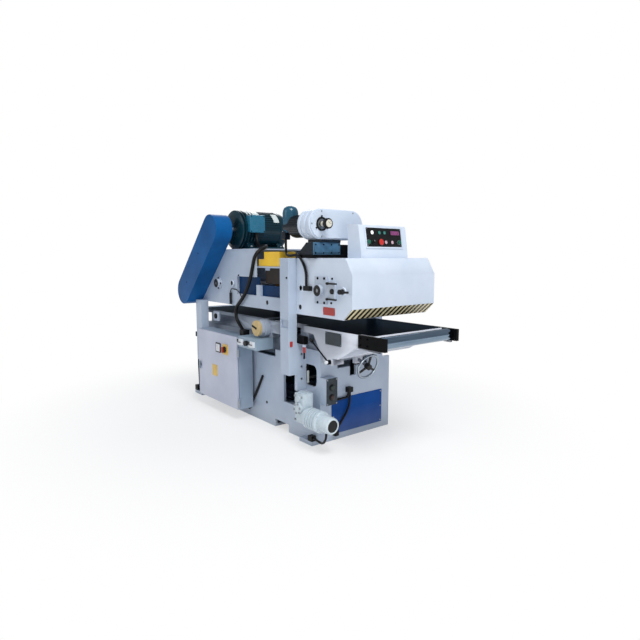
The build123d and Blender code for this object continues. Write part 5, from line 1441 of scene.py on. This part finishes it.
@dataclass
class FeedDrive(Assembly):
    """Gearbox, belt variator, feed motor and speed knob on the infeed hood."""

    plate_top: float = 1331.5
    gear_block_y: float = -143.5
    cover_side_x: float = 946
    cover_top: float = 1414
    cover_at: Point = (950, -263.5, 1372)
    cover: Slab = Slab(222, 66, 10, (0, 3.5), 1.2)
    cover_pads: tuple[Block, ...] = tuple(
        Block((y - 24, y + 24), (-25, 25), (3.2, 6), 1.4) for y in (-68, 0, 68))
    cover_screws: Seats = seats((953.5,), (-366, -297, -229, -161), (1345, 1399), INFEED)
    wheel_y: Spot = (-320, -40)
    wheel_z: float = 1535
    case_steps: tuple[tuple[float, Span, float], ...] = (      # radius, span and edge of each step
        (102, (820, 846), 5), (95, (846, 858), 0), (102, (858, 902), 5), (95, (902, 914), 0),
        (102, (914, 952), 6), (93, (952, 960), 3))
    case_face: float = 960
    case_screw_reach: float = 84
    case_screw_turns: tuple[Row, Row] = ((90, 180, 270), (90, 0, 270))
    knob_ring: Turning = Turning(((959, 34), (965, 35), (965, 45), (964, 47), (959, 47)), 48)
    ring_lug: Block = Block((44, 58), (-5, 5), (959, 966), 1.5)
    ring_lug_turns: Row = (90, 210, 330)
    knob_seat: Turning = Turning(((959, 15), (961.5, 15), (961.5, 33), (959, 34)), 40)
    motor: Spot = (-312, 1530)
    motor_body: Turning = Turning((
        (556, 0), (556, 38), (560, 48), (570, 54), (648, 54), (652, 72), (656, 76), (806, 76), (810, 80),
        (819, 80), (820, 78), (820, 0)), 56)
    motor_gland: Block = Block((552, 600), (-368, -318), (1440, 1500), 5)
    motor_fins: Fins = Fins(34, 77, 5, 3.5, 140)
    motor_fins_x: float = 732
    dome_at: Spot = (592, -312)
    dome: Turning = Turning((
        (1490, 50), (1545, 50), (1552, 56), (1628, 57), (1650, 53), (1666, 44), (1676, 30), (1680, 14),
        (1680, 0)), 48)
    knob: Turning = Turning((
        (921, 0), (921, 13.8), (966, 13.8), (966, 17), (1008, 17), (1008, 29), (1011, 32.5), (1036, 32.5),
        (1039, 31), (1039, 27), (1036.5, 25.5), (1036.5, 0)), 48)
    knob_dial: Turning = Turning(((1036.4, 25), (1039, 24.5), (1039.6, 22), (1039.6, 0)), 40)
    knob_neck: Turning = Turning(((968, 17), (970, 18), (1004, 18), (1006, 17)), 40)
    dial_mark: Block = Block((3, 19), (-1, 1), (1039.2, 1040), 0.2)
    dial_mark_turns: Row = (0, 60, 120)
    knob_ribs: Fins = Fins(30, 33.4, 2.6, 3, 24)
    knob_ribs_x: float = 1023.5

    def build(self) -> None:
        """Build and dress the feed drive."""
        self.gearbox()
        self.variator()
        self.feed_motor()
        self.speed_knob()

    def gearbox_finish(self, mid: Vector, way: Vector) -> Finish:
        """Black for plate and gear block, grey blue as painted light on the infeed side, black blue as
        painted shade on the rest.

        Args:
            mid: middle of the face.
            way: its normal.

        Returns:
            The finish.
        """
        if mid.z < self.plate_top or mid.y > self.gear_block_y:
            return BLACK
        return LIT_GEAR_BLUE if mid.x > self.cover_side_x and mid.z < self.cover_top else SHADED_NAVY

    def gearbox(self) -> None:
        """Gear case on its black plate, with an end cover in the grey blue of painted light."""
        self.dress("feed_gearbox", [BLACK, SHADED_NAVY, LIT_GEAR_BLUE], edge=3.0, choose=self.gearbox_finish)
        lay = facing(self.cover_at, INFEED)
        form = Form(LIT_GEAR_BLUE).slab(lay, self.cover)
        for pad in self.cover_pads:
            form.block(pad, lay)
        form.piece("gearbox_cover", "deep_blue_paint")
        self.repeats.bolt("gearbox_screws", PAN_SCREW, self.cover_screws, OXIDE)

    def variator(self) -> None:
        """White belt case with its stepped rims, face screws and the knob's lugged ring."""
        wheels = [(y, self.wheel_z) for y in self.wheel_y]
        hub = along_x(*wheels[0])
        form = Form(WHITE, NYLON, STEEL)
        for radius, span, edge in self.case_steps:
            form.drawn(belt_outline(*wheels, radius), span, facing(ORIGIN, INFEED), edge)
        form.paint(NYLON).turned(hub, self.knob_ring)
        for turn in self.ring_lug_turns:
            form.block(self.ring_lug, spun(hub, turn))
        form.paint(STEEL).turned(hub, self.knob_seat)
        self.replace("variator_case", form)
        points = [((self.case_face, *polar(self.case_screw_reach, math.radians(turn), wheel)), INFEED)
                  for wheel, turns in zip(wheels, self.case_screw_turns) for turn in turns]
        self.repeats.bolt("variator_screws", PAN_SCREW, points)

    def feed_motor(self) -> None:
        """Finned feed motor with its cowl, cable gland and domed terminal cover; its body and fins are black
        blue as painted shade.
        """
        place = along_x(*self.motor)
        form = Form(SHADED_NAVY, DOME_TEAL)
        form.turned(place, self.motor_body).block(self.motor_gland)
        form.paint(DOME_TEAL).turned(along_z(*self.dome_at), self.dome)
        self.replace("feed_motor", form)
        fins_place = moved(place, z=self.motor_fins_x)
        self.repeats.fin("feed_motor_fins", self.motor_fins, fins_place, SHADED_NAVY, "teal_paint")

    def speed_knob(self) -> None:
        """Speed knob: pale neck, ribbed black rim and a pale dial face."""
        place = along_x(self.wheel_y[0], self.wheel_z)
        form = Form(NYLON, PALE_FACE)
        form.turned(place, self.knob)
        form.paint(PALE_FACE).turned(place, self.knob_dial).turned(place, self.knob_neck)
        form.paint(NYLON)
        for turn in self.dial_mark_turns:
            form.block(self.dial_mark, spun(place, turn))
        self.replace("variator_knob", form)
        ribs_place = moved(place, z=self.knob_ribs_x)
        self.repeats.fin("variator_knob_ribs", self.knob_ribs, ribs_place, NYLON, "black_plastic", SPEED_KNOB)


@dataclass(frozen=True)
class PanelLamp:
    """Round lamp on the console: its place across and up the panel, its radius and its lens."""

    y: float
    rise: float
    radius: float
    lens: Finish

    def rim(self) -> Turning:
        """The metal rim."""
        return Turning(((4, self.radius), (5.6, self.radius), (6.2, self.radius - 1), (6.2, self.radius - 3)))

    def dome(self) -> Turning:
        """The domed lens inside the rim."""
        r = self.radius
        return Turning(((4, r - 3), (7.4, r - 3.6), (8.6, r - 5.5), (8.9, 0)))


@dataclass
class Console(Assembly):
    """Operator's console with its panel, lamps and buttons."""

    middle: Point = (1223.994, 0, 1444)
    normal: Point = (0.98718, 0, 0.15961)
    plate: Slab = Slab(326, 125, 6, (0, 4), 1.2)
    bezel_wide: float = 13
    bezel_high: float = 11
    bezel_rise: Span = (0, 6)
    bezel_gap: float = 1.8              # between the panel and the bezel's sides
    lamps: tuple[PanelLamp, ...] = (
        PanelLamp(-111, 31, 16, WHITE_LENS), PanelLamp(-44, 31, 15, GREEN_LENS),
        PanelLamp(4, 31, 15, GREEN_LENS), PanelLamp(11, -32, 15, ROSE_LENS),
        PanelLamp(72, -32, 15, ROSE_LENS))
    display_at: Spot = (104, 31)
    display_frame: Slab = Slab(95, 38, 3, (4, 6.3), 0.6)
    display_film: Slab = Slab(84, 26, 2, (6.3, 6.5))
    display_bars: tuple[Block, ...] = tuple(
        Block((y - 1, y + 1), (-9, 9), (6.4, 6.8), 0.2) for y in (-28, -14, 0, 14, 28))
    screw_y: Row = (-155, 155)
    screw_rise: Row = (-55, 55)
    button_rise: float = -32            # height of the row of buttons on the panel
    button: PushButton = PushButton(
        Turning(((-8, 0), (-8, 7), (8.5, 7), (8.5, 14), (14, 14), (15.6, 12.8), (16.3, 10.5), (16.5, 0))),
        Turning(((4, 7.6), (4, 16.5), (4.3, 16.2), (4.4, 15), (4.4, 7.6), (4, 7.6))), ZINC, "steel")
    start_y: float = -150
    reset_y: float = 138
    stop_y: float = -38
    stop: Turning = Turning((
        (-8, 0), (-8, 7), (8.5, 7), (8.5, 14), (9.6, 20), (12, 21), (14.2, 19.6), (15.8, 14), (16.5, 7),
        (16.5, 0)), 40)
    selector_y: float = -108
    selector: Turning = Turning(((-8, 0), (-8, 7), (4.5, 7), (4.5, 14), (11, 14), (12.5, 12.5), (12.5, 0)))
    selector_grip: Block = Block((-3, 3), (-9.5, 9.5), (12, 20.4), 1.5)
    selector_line: Block = Block((-0.8, 0.8), (1, 9), (20.2, 20.5), 0)

    def panel_place(self, y: float = 0, rise: float = 0, out: float = 0) -> Matrix:
        """Frame on the leaning panel's back face, with local Y up the panel.

        Args:
            y: across the panel.
            rise: up the panel from its middle.
            out: off the panel's back face.

        Returns:
            Matrix of the frame.
        """
        return moved(facing(self.middle, self.normal), y, rise, out)

    def build(self) -> None:
        """Build and dress the console."""
        self.dress("console", [WHITE], edge=4.0)
        self.panel()
        self.bezel()
        for node, y in (("start_button", self.start_y), ("reset_button", self.reset_y)):
            self.push_button(node, self.button, self.panel_place(y, self.button_rise), GREEN_CAP)
        self.stop_button()
        self.mode_selector()

    def panel(self) -> None:
        """Black panel with lamps in their rims, a display and corner screws."""
        form = Form(NYLON, WHITE_LENS, GREEN_LENS, ROSE_LENS, DISPLAY, OXIDE)
        form.slab(self.panel_place(), self.plate)
        for lamp in self.lamps:
            place = self.panel_place(lamp.y, lamp.rise)
            form.paint(OXIDE).turned(place, lamp.rim())
            form.paint(lamp.lens).turned(place, lamp.dome())
        display = self.panel_place(*self.display_at)
        form.paint(NYLON).slab(display, self.display_frame)
        form.paint(DISPLAY).slab(display, self.display_film)
        form.paint(NYLON)
        for bar in self.display_bars:
            form.block(bar, display)
        self.replace("console_panel", form)
        points = [(tuple(self.panel_place(y, rise, self.plate.span[1]).translation), self.normal)
                  for y, rise in product(self.screw_y, self.screw_rise)]
        self.repeats.bolt("panel_corner_screws", CORNER_SCREW, points)

    def bezel(self) -> None:
        """Raised white frame round the panel."""
        wide, high = self.plate.width / 2, self.plate.height / 2
        outer = wide + self.bezel_wide
        form = Form(WHITE)
        for side in (-1, 1):
            top = sorted((side * high, side * (high + self.bezel_high)))
            form.block(Block((-outer, outer), top, self.bezel_rise), self.panel_place())
            end = sorted((side * (wide + self.bezel_gap), side * outer))
            form.block(Block(end, (-high, high), self.bezel_rise), self.panel_place())
        form.piece("console_bezel", "white_paint")

    def stop_button(self) -> None:
        """Red mushroom button."""
        place = self.panel_place(self.stop_y, self.button_rise)
        self.replace("stop_button", Form(RED_CAP).turned(place, self.stop))

    def mode_selector(self) -> None:
        """Black selector with a white pointer line."""
        place = self.panel_place(self.selector_y, self.button_rise)
        form = Form(NYLON, WHITE_ABS)
        form.turned(place, self.selector).block(self.selector_grip, place)
        form.paint(WHITE_ABS).block(self.selector_line, place)
        self.replace("mode_selector", form)


@dataclass
class Bed(Assembly):
    """Bed saddle with its lift nuts, outfeed table, lower cutterhead with its drive, and the clamp box."""

    table_face: float = 836
    cutter: Spot = (330, 775)
    disc_back: float = -405.5
    disc_front: Point = (0, -436, 0)
    table_plates_x: float = -470        # bearings below this X are the outfeed table's side plates
    table_plates_y: float = 342.6
    pads_y: float = -500.5
    pads_middle: float = 270
    pads_apart: float = 40
    motor: Spot = (330, 400)
    motor_fins: Fins = Fins(32, 107, 8, 4, 240)
    disc_nut: Turning = Turning(((-459, 0), (-459, 9), (-455, 11), (-454, 11)), 6)
    disc_arm: Block = Block((14, 56), (-7, 7), (-459, -454), 1)
    disc_arm_turn: float = 196
    handles: tuple[Block, ...] = tuple(
        Block((x - 26, x + 26), (-526, -521), (654.5, 660.5)) for x in (186, 354))
    handle_knobs: tuple[Point, ...] = ((168, -522, 672), (336, -522, 672))
    handle_knob: Turning = Turning(((-1, 9), (4, 9), (6, 7), (6, 0)), 24)
    bearing_bolts: Seats = seats((170, 235), (-372,), (730, 780), NEAR)

    def build(self) -> None:
        """Build and dress the bed."""
        self.dress("bed_saddle", [CAST_GREY], edge=2.5)
        # The dark table top is painted shade
        self.dress("outfeed_table", [CAST_GREY, TABLE_STEEL], edge=1.5,
                   choose=lambda mid, way: TABLE_STEEL if mid.z > self.table_face else CAST_GREY)
        self.dress("outfeed_bed_roller", [CHROME], edge=1.0)
        cutterhead = Form.of_node("lower_cutterhead", (STEEL, CREAM, CAST_GREY))
        cutterhead.split(self.disc_front, FAR).pick(self.cutter_finish)
        self.replace("lower_cutterhead", cutterhead, Made.DRESSED)
        self.dress("lower_bearings", [CAST_GREY, WHITE, NYLON], edge=2.0, choose=self.bearing_finish)
        self.dress("lower_motor", [TEAL], edge=3.0)
        self.dress("lower_rotor", [STEEL], edge=1.5)
        self.dress("lower_belts", [RUBBER], edge=1.0)
        self.dress("lower_belt_guard", [BLUE], edge=2.0)
        self.dress("clamp_box", [CLAMP_GREY, WHITE_ABS, NYLON], edge=3.0, choose=self.clamp_finish)
        self.dress("lift_nuts", [BRONZE], edge=1.0)
        self.repeats.fin("lower_motor_fins", self.motor_fins, along_y(*self.motor), TEAL, "teal_paint", BED)
        self.disc_fittings()
        self.clamp_handles()
        self.repeats.bolt("bearing_bolts", SMALL_HEX, self.bearing_bolts, OXIDE, body=BED)

    def bearing_finish(self, mid: Vector, way: Vector) -> Finish:
        """White for the side plates of the outfeed table, black for their bosses, grey for the rest.

        Args:
            mid: middle of the face.
            way: its normal.

        Returns:
            The finish.
        """
        if mid.x > self.table_plates_x:
            return CAST_GREY
        return NYLON if abs(mid.y) > self.table_plates_y else WHITE

    def cutter_finish(self, mid: Vector, way: Vector) -> Finish:
        """Cream for the near disc's face, grey for its back, steel for the rest.

        Args:
            mid: middle of the face.
            way: its normal.

        Returns:
            The finish.
        """
        if mid.y > self.disc_back:
            return STEEL
        return CREAM if mid.y < self.disc_front[1] else CAST_GREY

    def clamp_finish(self, mid: Vector, way: Vector) -> Finish:
        """White for the clamp pads, black for the knob, grey for the box.

        Args:
            mid: middle of the face.
            way: its normal.

        Returns:
            The finish.
        """
        if mid.y > self.pads_y:
            return CLAMP_GREY
        return WHITE_ABS if abs(mid.x - self.pads_middle) > self.pads_apart else NYLON

    def disc_fittings(self) -> None:
        """Black setting arm and centre nut on the cream disc."""
        place = along_y(*self.cutter)
        form = Form(OXIDE)
        form.turned(place, self.disc_nut).block(self.disc_arm, spun(place, self.disc_arm_turn))
        form.piece("disc_notch", "steel", LOWER_CUTTERHEAD)

    def clamp_handles(self) -> None:
        """Black handles with their knobs on the clamp pads."""
        form = Form(NYLON)
        for handle, knob_at in zip(self.handles, self.handle_knobs):
            form.block(handle).turned(near_face(*knob_at), self.handle_knob)
        form.piece("clamp_handles", "black_plastic", BED)


@dataclass
class InfeedTable(Assembly):
    """Infeed table, its roller, handwheel and lock lever."""

    table_face: float = 836.5
    roller_at: Spot = (1520, 797)
    roller: Turning = Turning((
        (-324, 12), (-324, 33), (-320, 33), (-320, 38.5), (-318.5, 40), (318.5, 40), (320, 38.5), (320, 33),
        (324, 33), (324, 12)), 64)
    roller_axle: Turning = Turning(((-355, 0), (-355, 11), (-354, 12), (354, 12), (355, 11), (355, 0)))
    slope: float = math.radians(20)
    wheel: Point = (1088, 0, 545)
    rim_reach: float = 80
    rim_back: float = -4
    screw_reach: float = 12.5
    hub_back: float = -18.5
    grip_low: float = 735
    lever_hub: Point = (1085, -366, 622)
    lever_cap: Turning = Turning(((8, 11), (15, 13), (24, 11), (28, 6), (29, 0)))
    apron_plate: RivetedPlate = RivetedPlate(
        "apron_plate", "plate_rivets", (1118, -350, 781.5), Slab(164, 85, 4, (0, 1.2), 0.3),
        spread=(75, 36.5), finish=SLATE, slot="black_paint", body=TABLE)
    arm_screws: Seats = (*seats((1380, 1440), (-355,), (775, 818), NEAR),
                         *seats((1380, 1440), (355,), (775, 818), FAR))

    def build(self) -> None:
        """Build and dress the infeed table."""
        # The apron's paler enamel is painted light against the table's shadow
        self.dress("infeed_table", [APRON, TABLE_STEEL], edge=3.0,
                   choose=lambda mid, way: TABLE_STEEL if mid.z > self.table_face else APRON)
        self.dress("roller_arms", [BLACK], edge=3.0)
        self.end_roller()
        self.dress("handwheel", [BRIGHT_RIM, NYLON, STEEL], choose=self.wheel_finish)
        self.lock_lever()
        self.rivet(self.apron_plate)
        self.repeats.bolt("arm_screws", CAP_SCREW, self.arm_screws, OXIDE, body=TABLE)

    def end_roller(self) -> None:
        """Chrome roller with its end plugs and black axle."""
        place = along_y(*self.roller_at)
        form = Form(CHROME, OXIDE)
        form.turned(place, self.roller).paint(OXIDE).turned(place, self.roller_axle)
        self.replace("end_roller", form)

    def wheel_finish(self, mid: Vector, way: Vector) -> Finish:
        """Chrome for the handwheel's rim, black for its hub and spokes, steel for the screw.

        Args:
            mid: middle of the face.
            way: its normal.

        Returns:
            The finish.
        """
        axis = Vector((math.cos(self.slope), 0, -math.sin(self.slope)))
        arm = mid - Vector(self.wheel)
        run = arm.dot(axis)
        out = (arm - axis * run).length
        if out > self.rim_reach:
            return BRIGHT_RIM if run > self.rim_back else NYLON
        return NYLON if out > self.screw_reach or run > self.hub_back else STEEL

    def lock_lever(self) -> None:
        """Lock lever: thin rod with a black grip and a pale domed hub."""
        self.dress("lock_lever", [OXIDE, NYLON], edge=0.8,
                   choose=lambda mid, way: NYLON if mid.z > self.grip_low else OXIDE)
        form = Form(WHITE_ABS).turned(near_face(*self.lever_hub), self.lever_cap)
        form.piece("lever_cap", "steel", LOCK_LEVER)


@dataclass
class Lift(Assembly):
    """Lift gearmotor and lift screws."""

    case: Block = Block((792, 903), (-435, -340), (154, 375), 22)
    case_top: Block = Block((800, 895), (-437, -345), (300, 372), 6)
    big_cover_at: Spot = (847.5, 264.5)
    big_cover: Turning = Turning(((-451, 0), (-451, 36), (-448, 42), (-437, 44), (-430, 44)), 40)
    small_cover_at: Spot = (847.5, 335)
    small_cover: Turning = Turning(((-445, 0), (-445, 22), (-437, 24), (-430, 24)))
    motor: Spot = (-402, 212)
    motor_radius: float = 75
    motor_steps: int = 56
    motor_neck: Outline = ((903, 60), (935, 60), (937, 72), (940, 75))
    groove_starts: Row = (961, 987, 1013, 1039)
    motor_cowl: Outline = (
        (1068, 75), (1074, 70), (1076, 60), (1100, 60), (1168, 57), (1178, 52), (1180, 49), (1180, 43),
        (1176, 41))
    cowl_grille: Turning = Turning(((1170, 0), (1174, 42), (1176, 42), (1177, 40), (1177, 0)), 40)
    tube_at: Spot = (825, 178)
    tube: Turning = Turning(((-345, 25), (-60, 25)))
    bevel_box: Block = Block((640, 885), (-60, 60), (113, 203), 6)
    bolts: Seats = (
        *ring_seats((847.5, -451, 264.5), NEAR, radius=34, count=6, start=30),
        *seats((808, 887), (-437,), (180, 350), NEAR),
        *ring_seats((1068, -402, 212), INFEED, radius=66, count=4, start=45))

    def build(self) -> None:
        """Build and dress the lift."""
        self.gearmotor()
        for node in ("outfeed_lift_screw", "infeed_lift_screw"):
            self.dress(node, [STEEL], edge=1.0)

    def gearmotor(self) -> None:
        """Gear case with its two covers, grooved motor, cowl, drive tube and bevel box."""
        axis = along_x(*self.motor)
        cut = grooves(self.groove_starts, self.motor_radius, depth=9, width=12, slope=2)
        form = Form(DRIVE_GREY, NYLON)
        for box in (self.case, self.case_top, self.bevel_box):
            form.block(box)
        for at, shape in ((self.big_cover_at, self.big_cover), (self.small_cover_at, self.small_cover),
                          (self.tube_at, self.tube)):
            form.turned(along_y(*at), shape)
        form.turned(axis, Turning((*self.motor_neck, *cut, *self.motor_cowl), self.motor_steps))
        form.paint(NYLON).turned(axis, self.cowl_grille)
        self.replace("lift_gearmotor", form)
        self.repeats.bolt("gearmotor_bolts", SMALL_HEX, self.bolts)


@dataclass
class Cabinet(Assembly):
    """Electrical cabinet with its door, switch, meter and latch."""

    fitting_face: float = -505.5        # switch plate and meter stand out beyond it
    hinge_x: float = 112.5
    switch_low_x: float = -130
    door_edge_least: float = 200        # keeps the corners round the switch plate and the meter square
    yellow_plate: RivetedPlate = RivetedPlate(
        "yellow_plate", "yellow_plate_rivets", (-263, -505, 355), Slab(88, 98, 5, (0, 1.4), 0.4),
        spread=(37, 42), finish=SWITCH_YELLOW, slot="yellow_paint", body=DOOR)
    meter_at: Point = (-189, -511, 561)
    meter_window: Slab = Slab(62, 62, 3, (0, 1.5), 0.4)
    needle_root: float = -16
    needle: Block = Block((0, 36), (-0.6, 0.6), (1.6, 2.2), 0)
    needle_turn: float = 112
    scale_mark: Block = Block((34, 39), (-0.5, 0.5), (1.5, 1.8), 0)
    scale_marks: int = 7
    scale_turns: Span = (50, 130)
    switch: Spot = (-68, 561)
    switch_base: Turning = Turning((
        (493.5, 0), (493.5, 6), (513.5, 6), (513.5, 26), (525.5, 25), (528.5, 22), (528.5, 0)), 40)
    switch_grip: Slab = Slab(14, 50, 6, (525.5, 543.5), 2.5)
    switch_screws: Seats = seats((-102, -34), (-513,), (527, 595), NEAR)
    latch: Spot = (-531, 363)
    latch_base: Turning = Turning(((486.5, 0), (486.5, 6), (505.5, 6), (505.5, 14), (511.5, 13.5)))
    latch_lever: Slab = Slab(22, 74, 9, (511.5, 517.5), 2)

    def build(self) -> None:
        """Build and dress the cabinet."""
        # The body's darker grey is painted shade
        self.dress("cabinet_body", [SHADED_CABINET_GREY], edge=2.0)
        self.dress("cabinet_door", [DOOR_GREY, SWITCH_YELLOW, NYLON, ZINC], edge=5.0, choose=self.door_finish,
                   least=self.door_edge_least)
        self.rivet(self.yellow_plate)
        self.meter_face()
        self.main_switch()
        self.door_latch()

    def door_finish(self, mid: Vector, way: Vector) -> Finish:
        """Yellow for the switch plate, black for the meter's frame, zinc for the hinge knuckles.

        Args:
            mid: middle of the face.
            way: its normal.

        Returns:
            The finish.
        """
        if mid.x > self.hinge_x:
            return ZINC
        if mid.y < self.fitting_face:
            return SWITCH_YELLOW if mid.x > self.switch_low_x else NYLON
        return DOOR_GREY

    def meter_face(self) -> None:
        """White meter window in its black frame, with a needle and a plain scale arc."""
        lay = near_face(*self.meter_at)
        pivot = moved(lay, y=self.needle_root)
        first, last = self.scale_turns
        form = Form(WHITE_ABS, NYLON, RED)
        form.slab(lay, self.meter_window)
        form.paint(NYLON)
        for step in range(self.scale_marks):
            turn = first + (last - first) * step / (self.scale_marks - 1)
            form.block(self.scale_mark, spun(pivot, turn))
        form.paint(RED).block(self.needle, spun(pivot, self.needle_turn))
        form.piece("meter_face", "white_paint", DOOR)

    def main_switch(self) -> None:
        """Orange rotary handle on its round base, and the screws of its plate."""
        place = near_axis(*self.switch)
        form = Form(NYLON, ORANGE_CAP).turned(place, self.switch_base)
        form.paint(ORANGE_CAP).slab(place, self.switch_grip)
        self.replace("main_switch", form)
        self.repeats.bolt("switch_plate_screws", PAN_SCREW, self.switch_screws, body=DOOR)

    def door_latch(self) -> None:
        """Swing latch with a pale lever on a black base."""
        place = near_axis(*self.latch)
        form = Form(NYLON, CHROME).turned(place, self.latch_base)
        form.paint(CHROME).slab(place, self.latch_lever)
        self.replace("door_latch", form)


@dataclass
class Station(Assembly):
    """Push-button station on the pedestal's end."""

    lid_back: float = 993
    middle: float = -257
    raise_z: float = 415
    lower_z: float = 345
    button: PushButton = PushButton(
        Turning(((972, 0), (972, 7), (1001.5, 7), (1001.5, 17), (1007, 17), (1008.8, 15.5), (1009.5, 12),
                 (1009.5, 0)), 36),
        Turning(((997, 17.8), (997, 24), (1000, 23), (1000.8, 21), (1000.8, 17.8), (997, 17.8)), 36),
        NYLON, "black_plastic")
    screws: Seats = seats((997,), (-298, -216), (299, 471), INFEED)

    def build(self) -> None:
        """Build and dress the station."""
        self.dress("switch_station", [GREY, SLATE], edge=3.0,
                   choose=lambda mid, way: SLATE if mid.x > self.lid_back else GREY)
        self.push_button("raise_button", self.button, along_x(self.middle, self.raise_z), DARK_GREEN)
        self.push_button("lower_button", self.button, along_x(self.middle, self.lower_z), DARK_RED)
        self.repeats.bolt("station_screws", PAN_SCREW, self.screws)


@dataclass
class Cables(Assembly):
    """Clipped conduits with their glands."""

    def build(self) -> None:
        """Build and dress the conduits."""
        self.dress("conduits", [CONDUIT])


# Stage


@dataclass(frozen=True)
class StudioLamp:
    """Square soft lamp: its name, its place in metres, its power in watts and the side of its square."""

    name: str
    place: Point
    power: float
    size: float


@dataclass
class Stage:
    """Pale floor, soft lamps and the camera."""

    eye: Point = (3650.8, -2499.26, 1316.0)
    azimuth: float = math.radians(51.18)
    pitch: float = math.radians(7.02)
    lens: float = 28.78
    sensor: float = 36.0
    sight: float = 100.0
    aim: Point = (0.1, 0.0, 0.8)
    lamps: tuple[StudioLamp, ...] = (
        StudioLamp("key", (4.0, -1.2, 6.0), 255.0, 2.6), StudioLamp("side", (-1.2, -5.0, 3.4), 40.0, 3.0),
        StudioLamp("low", (4.8, -1.8, 0.7), 32.0, 1.8), StudioLamp("back", (-3.8, 3.2, 4.2), 70.0, 3.0))
    floor_half: float = 40.0
    floor_colour: str = "#F7F7F7"
    fade_reach: Span = (0.9, 2.6)       # metres from the middle where the floor starts to fade and is white
    fade_start: float = 0.55
    backdrop: str = "#FFFFFF"
    surround: str = "#E8EEF6"
    surround_light: float = 0.42

    def build(self) -> None:
        """Set the stage."""
        self.camera()
        self.floor()
        self.world()
        for lamp in self.lamps:
            self.hang(lamp)
        bpy.context.scene.view_settings.view_transform = "Standard"

    def camera(self) -> None:
        """Camera at the photograph's viewpoint."""
        data = bpy.data.cameras.new("camera")
        data.lens = self.lens
        data.sensor_width = self.sensor
        data.clip_end = self.sight
        camera = bpy.data.objects.new("camera", data)
        ahead, aside = math.cos(self.azimuth), -math.sin(self.azimuth)
        level = math.cos(self.pitch)
        look = Vector((aside * level, ahead * level, -math.sin(self.pitch)))
        camera.location = Vector(self.eye) * MM
        camera.rotation_euler = look.to_track_quat("-Z", "Y").to_euler()
        bpy.context.scene.collection.objects.link(camera)
        bpy.context.scene.camera = camera

    def floor(self) -> None:
        """White floor that takes the machine's shadow and fades into the background."""
        shell = bmesh.new()
        bmesh.ops.create_grid(shell, x_segments=1, y_segments=1, size=self.floor_half)
        mesh = bpy.data.meshes.new("floor")
        shell.to_mesh(mesh)
        shell.free()
        floor = bpy.data.objects.new("floor", mesh)
        bpy.context.scene.collection.objects.link(floor)
        material = bpy.data.materials.new("white studio floor")
        material.use_nodes = True
        tree = material.node_tree
        tree.nodes.clear()
        place = add_node(tree, "ShaderNodeTexCoord").outputs["Object"]
        reach = add_node(tree, "ShaderNodeVectorMath", {0: place}, operation="LENGTH")
        fade = add_node(tree, "ShaderNodeMapRange", {
            "Value": reach.outputs["Value"], "From Min": self.fade_reach[0], "From Max": self.fade_reach[1],
            "To Min": self.fade_start}, interpolation_type="SMOOTHSTEP")
        path = add_node(tree, "ShaderNodeLightPath")
        seen = add_node(tree, "ShaderNodeMath", {
            0: path.outputs["Is Camera Ray"], 1: path.outputs["Is Glossy Ray"]}, operation="MAXIMUM")
        white = add_node(tree, "ShaderNodeMath", {0: fade.outputs[0], 1: seen.outputs[0]},
                         operation="MULTIPLY")
        matt = add_node(tree, "ShaderNodeBsdfDiffuse", {"Color": linear(self.floor_colour)})
        glow = add_node(tree, "ShaderNodeEmission", {"Color": linear(self.backdrop), "Strength": 1.0})
        mixed = add_node(tree, "ShaderNodeMixShader", {
            0: white.outputs[0], 1: matt.outputs[0], 2: glow.outputs[0]})
        add_node(tree, "ShaderNodeOutputMaterial", {"Surface": mixed.outputs[0]})
        mesh.materials.append(material)

    def world(self) -> None:
        """Soft grey-white surround that the camera sees as white."""
        world = bpy.data.worlds.new("studio")
        world.use_nodes = True
        tree = world.node_tree
        tree.nodes.clear()
        path = add_node(tree, "ShaderNodeLightPath")
        seen = add_node(tree, "ShaderNodeMath", {
            0: path.outputs["Is Camera Ray"], 1: path.outputs["Is Transmission Ray"]}, operation="MAXIMUM")
        surround = add_node(tree, "ShaderNodeBackground", {
            "Color": linear(self.surround), "Strength": self.surround_light})
        white = add_node(tree, "ShaderNodeBackground", {"Color": linear(self.backdrop), "Strength": 1.0})
        mixed = add_node(tree, "ShaderNodeMixShader", {
            0: seen.outputs[0], 1: surround.outputs[0], 2: white.outputs[0]})
        add_node(tree, "ShaderNodeOutputWorld", {"Surface": mixed.outputs[0]})
        bpy.context.scene.world = world

    def hang(self, lamp: StudioLamp) -> None:
        """Hang a lamp, aimed at the machine's middle.

        Args:
            lamp: the lamp.
        """
        data = bpy.data.lights.new(lamp.name, "AREA")
        data.energy = lamp.power
        data.size = lamp.size
        hung = bpy.data.objects.new(lamp.name, data)
        hung.location = lamp.place
        way = Vector(self.aim) - Vector(lamp.place)
        hung.rotation_euler = way.to_track_quat("-Z", "Y").to_euler()
        bpy.context.scene.collection.objects.link(hung)


MACHINE = (Base, Head, CutterDrive, FeedDrive, Console, Bed, InfeedTable, Lift, Cabinet, Station, Cables)


def main() -> None:
    """Build the machine and its stage."""
    logging.basicConfig(level=logging.INFO, format="%(name)s: %(message)s")
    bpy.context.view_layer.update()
    repeats = Repeats()
    Stage().build()
    for kind in MACHINE:
        kind(repeats).build()


if __name__ == "__main__":
    main()
